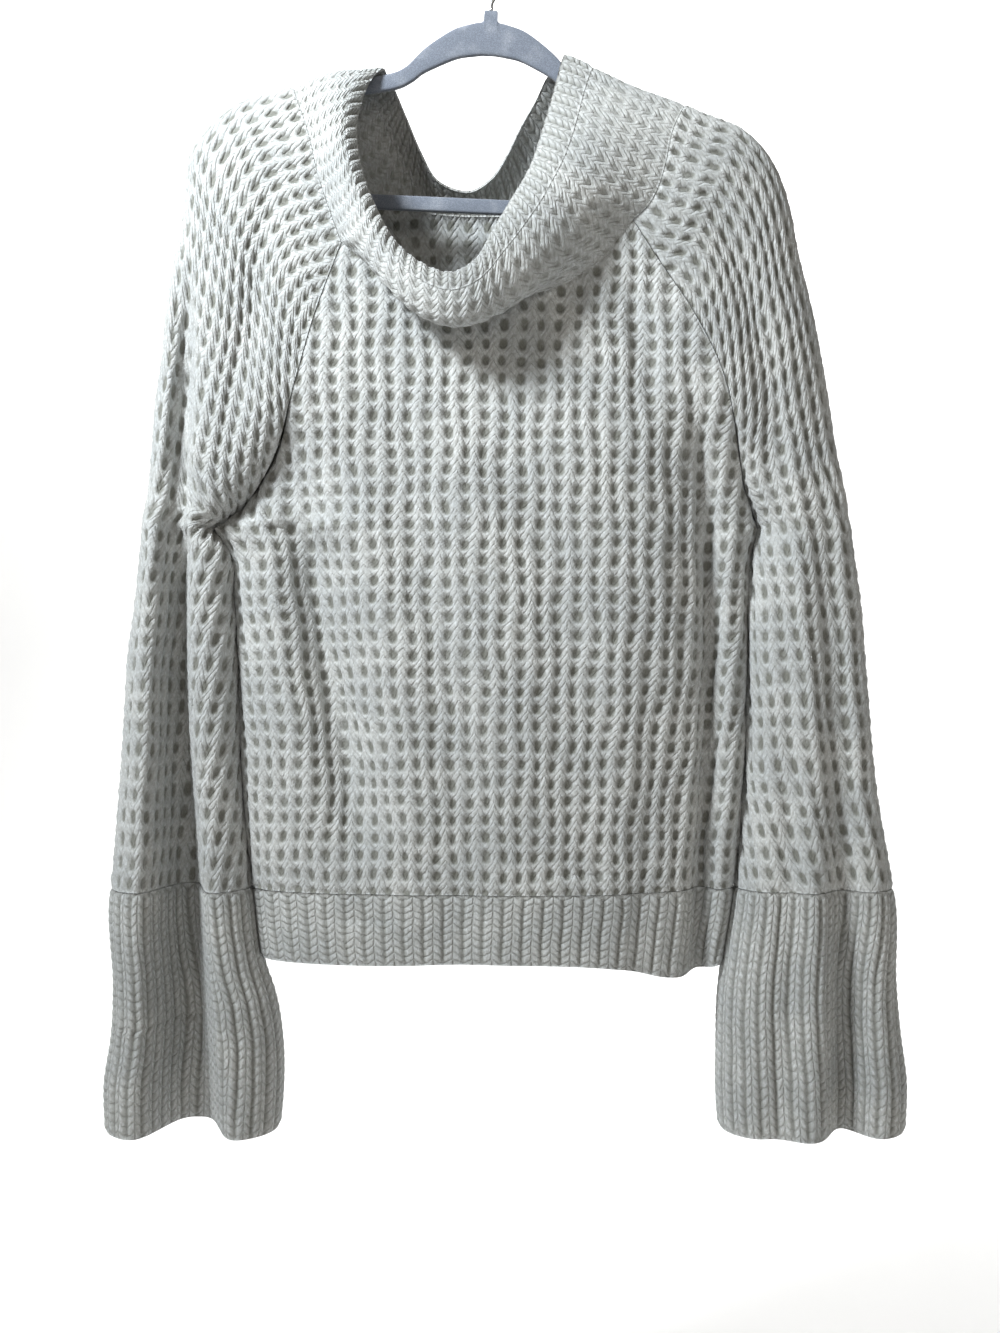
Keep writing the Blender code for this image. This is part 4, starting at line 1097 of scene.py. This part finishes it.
def noise(tree, scale, detail, stretch=(1, 1, 1)):
    """Noise in the object's own place."""
    where = tree.nodes.new("ShaderNodeTexCoord")
    spread = tree.nodes.new("ShaderNodeMapping")
    spread.inputs["Scale"].default_value = stretch
    tree.links.new(where.outputs["Object"], spread.inputs["Vector"])
    made = tree.nodes.new("ShaderNodeTexNoise")
    made.inputs["Scale"].default_value = scale
    made.inputs["Detail"].default_value = detail
    tree.links.new(spread.outputs["Vector"], made.inputs["Vector"])
    return made.outputs["Fac"]


def mixed(tree, share, start, end):
    """A colour between two, each a colour or another node's result."""
    node = tree.nodes.new("ShaderNodeMix")
    node.data_type = "RGBA"
    tree.links.new(share, node.inputs["Factor"])
    for socket, value in ((node.inputs[6], start), (node.inputs[7], end)):
        if isinstance(value, tuple):
            socket.default_value = (*value, 1)
        else:
            tree.links.new(value, socket)
    return node.outputs[2]


def new_material(name, roughness):
    made = bpy.data.materials.new(name)
    made.use_nodes = True
    shader = made.node_tree.nodes["Principled BSDF"]
    shader.inputs["Roughness"].default_value = roughness
    return made, made.node_tree, shader


def bumped(tree, shader, height, distance, strength):
    node = tree.nodes.new("ShaderNodeBump")
    node.inputs["Distance"].default_value = distance
    node.inputs["Strength"].default_value = strength
    tree.links.new(height, node.inputs["Height"])
    tree.links.new(node.outputs["Normal"], shader.inputs["Normal"])


# Kinds of noise: scale, detail and, where it isn't even, stretch
WANDER = (160.0, 4.0)
FUZZ = (900.0, 4.0, (1, 1, 0.5))
LOFT = (22.0, 4.0)
MOTTLE = (330.0, 5.0)
SHADOW_PATCHES = (48.0, 3.0)
FLOCK = (1600.0, 3.0)
WEAR = (60.0, 5.0)
DRAWN = (700.0, 2.0, (1, 1, 0.1))
PAPER = (3.0, 2.0)

# From which value of its noise to which a thing shows
FUZZ_SHOWS = (0.35, 0.75)
LOFT_SHOWS = (0.35, 0.7)
MOTTLE_SHOWS = (0.38, 0.66)
FLOCK_SHOWS = (0.40, 0.66)
WEAR_SHOWS = (0.45, 0.72)
PAPER_SHOWS = (0.2, 0.8)

# Colours in pairs, first where the yarn is thin or the flock is whole
YARN = ((0.575, 0.600, 0.610), (0.735, 0.755, 0.755))
# Painted shade: the darker yarn where the fuzz sinks between the fibres
YARN_IN_FUZZ_SHADE = ((0.45, 0.46, 0.455), (0.55, 0.55, 0.53))
YARN_MOTTLE = ((0.38, 0.385, 0.37), (0.46, 0.46, 0.44))
# Painted shade: the dark colour the yarn is mixed towards beside its legs, in the pits and in the
# hollows
PAINTED_SHADE_COLOUR = (0.20, 0.20, 0.175)
VELVET = ((0.235, 0.260, 0.315), (0.33, 0.355, 0.41))
VELVET_BETWEEN = ((0.16, 0.18, 0.22), (0.22, 0.24, 0.28))
STEEL = ((0.55, 0.56, 0.58), (0.74, 0.75, 0.77))
STEEL_ROUGHNESS = (0.12, 0.30)
PAPER_COLOUR = ((0.88, 0.88, 0.88), (0.91, 0.91, 0.91))
PAPER_GLOW = 0.22

# A knit's shading: its legs' slant and height, its bump, the shade beside a leg and in a hollow
WAFFLE_LOOK = (LEG_SLANT, 0.85, 0.75, 0.15, 0.5)
RIB_LOOK = (RIB_SLANT, 1.0, 0.9, 0.42, 0.8)
WANDER_SHARE = 0.7
LEG_ROUND = 2.4  # a higher power gives fuller legs
CREASE_SHOWS = 0.14
PLIES_DOWN, PLIES_ACROSS, PLY_HEIGHT = 34.0, 30.0, 0.05
FUZZ_HEIGHT = 0.7
YARN_BUMP = 0.0011
MOTTLE_SHARE = 0.68
PAINTED_HOLLOW_SHADE_POWER = 1.3

# The shaded pits of the waffle: their size as shares of a cell, and how soft and dark they are
PIT_SHADE = 0.97
COLLAR_PIT_SHADE = 0.5
SHADE_WIDE, SHADE_TALL, SHADE_SQUARE = 0.215, 0.31, 2.6
RIM_WANDER = 2.4
RIM_SHOWS = (1.9, 0.2)


def knit_material(name, look, pit_shade=0):
    """Soft yarn in knit coordinates. A waffle knit's pits are shaded, and a rib knit has none."""
    slant, leg_height, bump, leg_shade, hollow_shade = look
    made, tree, shader = new_material(name, 0.92)

    def op(kind, *inputs):
        return maths(tree, kind, *inputs)

    def from_middle(value):
        """How far a coordinate is from the middle of its cell."""
        return op("ABSOLUTE", op("SUBTRACT", op("FRACT", value), 0.5))

    layer = tree.nodes.new("ShaderNodeUVMap")
    layer.uv_map = "knit"
    parts = tree.nodes.new("ShaderNodeSeparateXYZ")
    tree.links.new(layer.outputs["UV"], parts.inputs[0])
    u, v = parts.outputs["X"], parts.outputs["Y"]
    held = tree.nodes.new("ShaderNodeAttribute")
    held.attribute_name = "hollow"
    hollow = held.outputs["Fac"]
    fuzz = noise(tree, *FUZZ)
    wander = op("MULTIPLY", op("SUBTRACT", noise(tree, *WANDER), 0.5), WANDER_SHARE)

    # The legs of the stitches, which lie on both sides of a wale or a rib
    across = from_middle(u)
    if pit_shade:
        aside, rows = op("SUBTRACT", 0.5, across), op("MULTIPLY", v, 2.0)
    else:
        aside, rows = op("MULTIPLY", across, 2.0), v
    phase = op("SUBTRACT", rows, op("MULTIPLY", aside, slant))
    phase = op("FRACT", op("ADD", phase, wander))
    off = op("ABSOLUTE", op("MULTIPLY_ADD", phase, 2.0, -1.0))
    leg = op("SUBTRACT", 1.0, op("POWER", off, LEG_ROUND))
    if not pit_shade:
        leg = op("MULTIPLY", leg, eased(tree, aside, 0.0, CREASE_SHOWS))
    ply = op("SINE", op("MULTIPLY_ADD", v, PLIES_DOWN, op("MULTIPLY", u, PLIES_ACROSS)))
    height = op("MULTIPLY_ADD", fuzz, FUZZ_HEIGHT, op("MULTIPLY", leg, leg_height))
    bumped(tree, shader, op("MULTIPLY_ADD", ply, PLY_HEIGHT, height), YARN_BUMP, bump)

    # The yarn's colour, uneven in its loft, with painted shade between its fibres, and in small
    # spots
    loft = eased(tree, noise(tree, *LOFT), *LOFT_SHOWS)
    # Painted shade between the fibres, where the fuzz is low
    below = mixed(tree, loft, *YARN_IN_FUZZ_SHADE)
    yarn = mixed(tree, eased(tree, fuzz, *FUZZ_SHOWS), below, mixed(tree, loft, *YARN))
    mottle = op("MULTIPLY", eased(tree, noise(tree, *MOTTLE), *MOTTLE_SHOWS), MOTTLE_SHARE)
    yarn = mixed(tree, mottle, yarn, mixed(tree, loft, *YARN_MOTTLE))

    # Painted shade between the legs and in the pits, in places less, and painted shade in the
    # hollows of the mesh
    shadow = op("MULTIPLY", op("SUBTRACT", 1.0, leg), leg_shade)
    if pit_shade:
        wide = op("POWER", op("DIVIDE", across, SHADE_WIDE), SHADE_SQUARE)
        tall = op("POWER", op("DIVIDE", from_middle(v), SHADE_TALL), SHADE_SQUARE)
        rim = op("MULTIPLY_ADD", wander, RIM_WANDER, op("ADD", wide, tall))
        pit = op("MULTIPLY", eased(tree, rim, *RIM_SHOWS), pit_shade)
        shadow = op("MAXIMUM", shadow, pit)
    shadow = op("MULTIPLY", shadow, op("MULTIPLY_ADD", fuzz, -0.5, 1.2))
    uneven = op("MULTIPLY_ADD", noise(tree, *SHADOW_PATCHES), 1.1, 0.48)
    shadow = op("MULTIPLY", shadow, op("MINIMUM", uneven, 1.1))
    # Painted shade in the mesh's hollows, from the hollow value of its points
    deep = op("MULTIPLY", op("POWER", hollow, PAINTED_HOLLOW_SHADE_POWER), hollow_shade)
    yarn = mixed(tree, op("MAXIMUM", shadow, deep), yarn, PAINTED_SHADE_COLOUR)
    tree.links.new(yarn, shader.inputs["Base Color"])
    shader.inputs["Sheen Weight"].default_value = 0.25
    shader.inputs["Sheen Roughness"].default_value = 0.6
    shader.inputs["Specular IOR Level"].default_value = 0.2
    return made


def velvet_material():
    """Flock: short fibres with a soft sheen and small bare flecks."""
    made, tree, shader = new_material("flocked velvet", 0.95)
    fine = noise(tree, *FLOCK)
    worn = eased(tree, noise(tree, *WEAR), *WEAR_SHOWS)
    between_fibres = mixed(tree, worn, *VELVET_BETWEEN)
    colour = mixed(tree, eased(tree, fine, *FLOCK_SHOWS), between_fibres, mixed(tree, worn, *VELVET))
    tree.links.new(colour, shader.inputs["Base Color"])
    bumped(tree, shader, fine, 0.0004, 0.7)
    shader.inputs["Sheen Weight"].default_value = 0.6
    shader.inputs["Sheen Roughness"].default_value = 0.4
    return made


def steel_material():
    """Plated wire with faint drawing marks."""
    made, tree, shader = new_material("plated wire", 0.2)
    shader.inputs["Metallic"].default_value = 1.0
    marks = noise(tree, *DRAWN)
    tree.links.new(mixed(tree, marks, *STEEL), shader.inputs["Base Color"])
    rough = tree.nodes.new("ShaderNodeMapRange")
    rough.inputs["To Min"].default_value, rough.inputs["To Max"].default_value = STEEL_ROUGHNESS
    tree.links.new(marks, rough.inputs["Value"])
    tree.links.new(rough.outputs["Result"], shader.inputs["Roughness"])
    bumped(tree, shader, marks, 0.0001, 0.2)
    return made


def studio_material():
    made, tree, shader = new_material("studio paper", 0.9)
    faint = eased(tree, noise(tree, *PAPER), *PAPER_SHOWS)
    tree.links.new(mixed(tree, faint, *PAPER_COLOUR), shader.inputs["Base Color"])
    shader.inputs["Emission Color"].default_value = (1.0, 1.0, 1.0, 1.0)
    shader.inputs["Emission Strength"].default_value = PAPER_GLOW
    return made


# The photograph's view: the camera's place and how much of the sweater's plane it takes in
CAMERA_X = 0.00426
CAMERA_Z = -0.5635
CAMERA_AWAY = 1.1
FRAME_TALL = 1.033075
SENSOR_TALL = 36.0

# The studio: its floor, its wall and the radius of the bend between them
FLOOR_Z = -1.30
FLOOR_START_Y = -4.0
HALF_WIDE = 5.0
WALL_Y = 2.2
WALL_TOP = 3.5
BEND = 0.8
BEND_STEPS = 16

SWEATER = (0.0, 0.0, -0.5)
WHITE = (1.0, 1.0, 1.0)
LIGHTS = [
    # name, place, what it points at, power, size, colour, spread in degrees
    ("key", (-0.95, -0.80, 0.52), (-0.22, 0.0, -0.08), 10.5, 0.36, (0.90, 0.96, 1.0), 88),
    ("fill", (0.5, -2.4, 0.3), SWEATER, 6, 1.0, (1.0, 0.93, 0.84), 180),
    ("top", (0.2, 0.3, 1.5), SWEATER, 6, 1.0, WHITE, 180),
    ("paper", (0.0, 1.2, 1.7), (0.0, WALL_Y, 1.2), 75, 1.6, WHITE, 180),
]
WORLD_COLOUR = (1.0, 0.97, 0.88, 1)
WORLD_STRENGTH = 0.15


def add_studio():
    """A pale floor that curves up into a backdrop."""
    bend_y = WALL_Y - BEND
    profile = [(FLOOR_START_Y, FLOOR_Z), (bend_y, FLOOR_Z)]
    for k in range(1, BEND_STEPS + 1):
        a = math.pi / 2 * k / BEND_STEPS
        profile.append((bend_y + BEND * math.sin(a), FLOOR_Z + BEND - BEND * math.cos(a)))
    profile.append((WALL_Y, WALL_TOP))
    points = [(x, y, z) for y, z in profile for x in (-HALF_WIDE, HALF_WIDE)]
    faces = [(2 * k, 2 * k + 1, 2 * k + 3, 2 * k + 2) for k in range(len(profile) - 1)]
    mesh = bpy.data.meshes.new("studio")
    mesh.from_pydata(points, [], faces)
    mesh.shade_smooth()
    mesh.materials.append(studio_material())
    placed("studio", mesh)


def add_light(name, place, target, power, size, colour, spread):
    """A square soft light that points at a place, its beam as wide as its spread in degrees."""
    lamp = bpy.data.lights.new(name, "AREA")
    lamp.energy = power
    lamp.size = size
    lamp.color = colour
    lamp.spread = math.radians(spread)
    made = placed(name, lamp)
    made.location = place
    made.rotation_euler = (Vector(target) - Vector(place)).to_track_quat("-Z", "Y").to_euler()


def add_camera():
    """The photograph's view: level, in front, on the middle of its frame."""
    lens = bpy.data.cameras.new("photo view")
    lens.sensor_fit = "VERTICAL"
    lens.sensor_height = SENSOR_TALL
    lens.lens = SENSOR_TALL * CAMERA_AWAY / FRAME_TALL
    made = placed("photo view", lens)
    made.location = (CAMERA_X, -CAMERA_AWAY, CAMERA_Z)
    made.rotation_euler = (math.pi / 2, 0, 0)
    bpy.context.scene.camera = made


def light_world():
    world = bpy.data.worlds.new("studio")
    world.use_nodes = True
    background = world.node_tree.nodes["Background"]
    background.inputs["Color"].default_value = WORLD_COLOUR
    background.inputs["Strength"].default_value = WORLD_STRENGTH
    bpy.context.scene.world = world


add_camera()
add_studio()
for light in LIGHTS:
    add_light(*light)
light_world()
bpy.context.scene.view_settings.view_transform = "Standard"

waffle_paint = knit_material("waffle knit", WAFFLE_LOOK, PIT_SHADE)
collar_paint = knit_material("fine waffle knit", WAFFLE_LOOK, COLLAR_PIT_SHADE)
rib_paint = knit_material("rib knit", RIB_LOOK)
cowl, cowl_band = knit_collar(COLLAR_MESH, BAND_MESH, collar_paint, rib_paint)
pieces = [
    # piece, node, slot
    (knit_panel("front", FRONT_MESH, waffle_paint), "front", "waffle_knit"),
    (knit_panel("back", BACK_MESH, waffle_paint), "back", "waffle_knit"),
    (knit_sleeve("right", SLEEVE_MESH, waffle_paint), "sleeve_right", "waffle_knit"),
    (knit_sleeve("left", SLEEVE_MESH, waffle_paint), "sleeve_left", "waffle_knit"),
    (cowl, "cowl", "waffle_knit"),
    (cowl_band, "cowl_rib_band", "rib_knit"),
    (knit_cuff("right", CUFF_MESH, rib_paint), "cuff_right", "rib_knit"),
    (knit_cuff("left", CUFF_MESH, rib_paint), "cuff_left", "rib_knit"),
    (knit_hem("front", HEM_MESH, rib_paint), "front_hem_rib", "rib_knit"),
    (knit_hem("back", HEM_MESH, rib_paint), "back_hem_rib", "rib_knit"),
    (round_board(velvet_material()), "hanger_board", "flocked_velvet"),
    (round_hook(steel_material()), "hanger_hook", "steel_wire"),
]
# Each piece goes under the root, and the solid that it stands for is hidden
for piece, node, slot in pieces:
    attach(piece, "root")
    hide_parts(node)
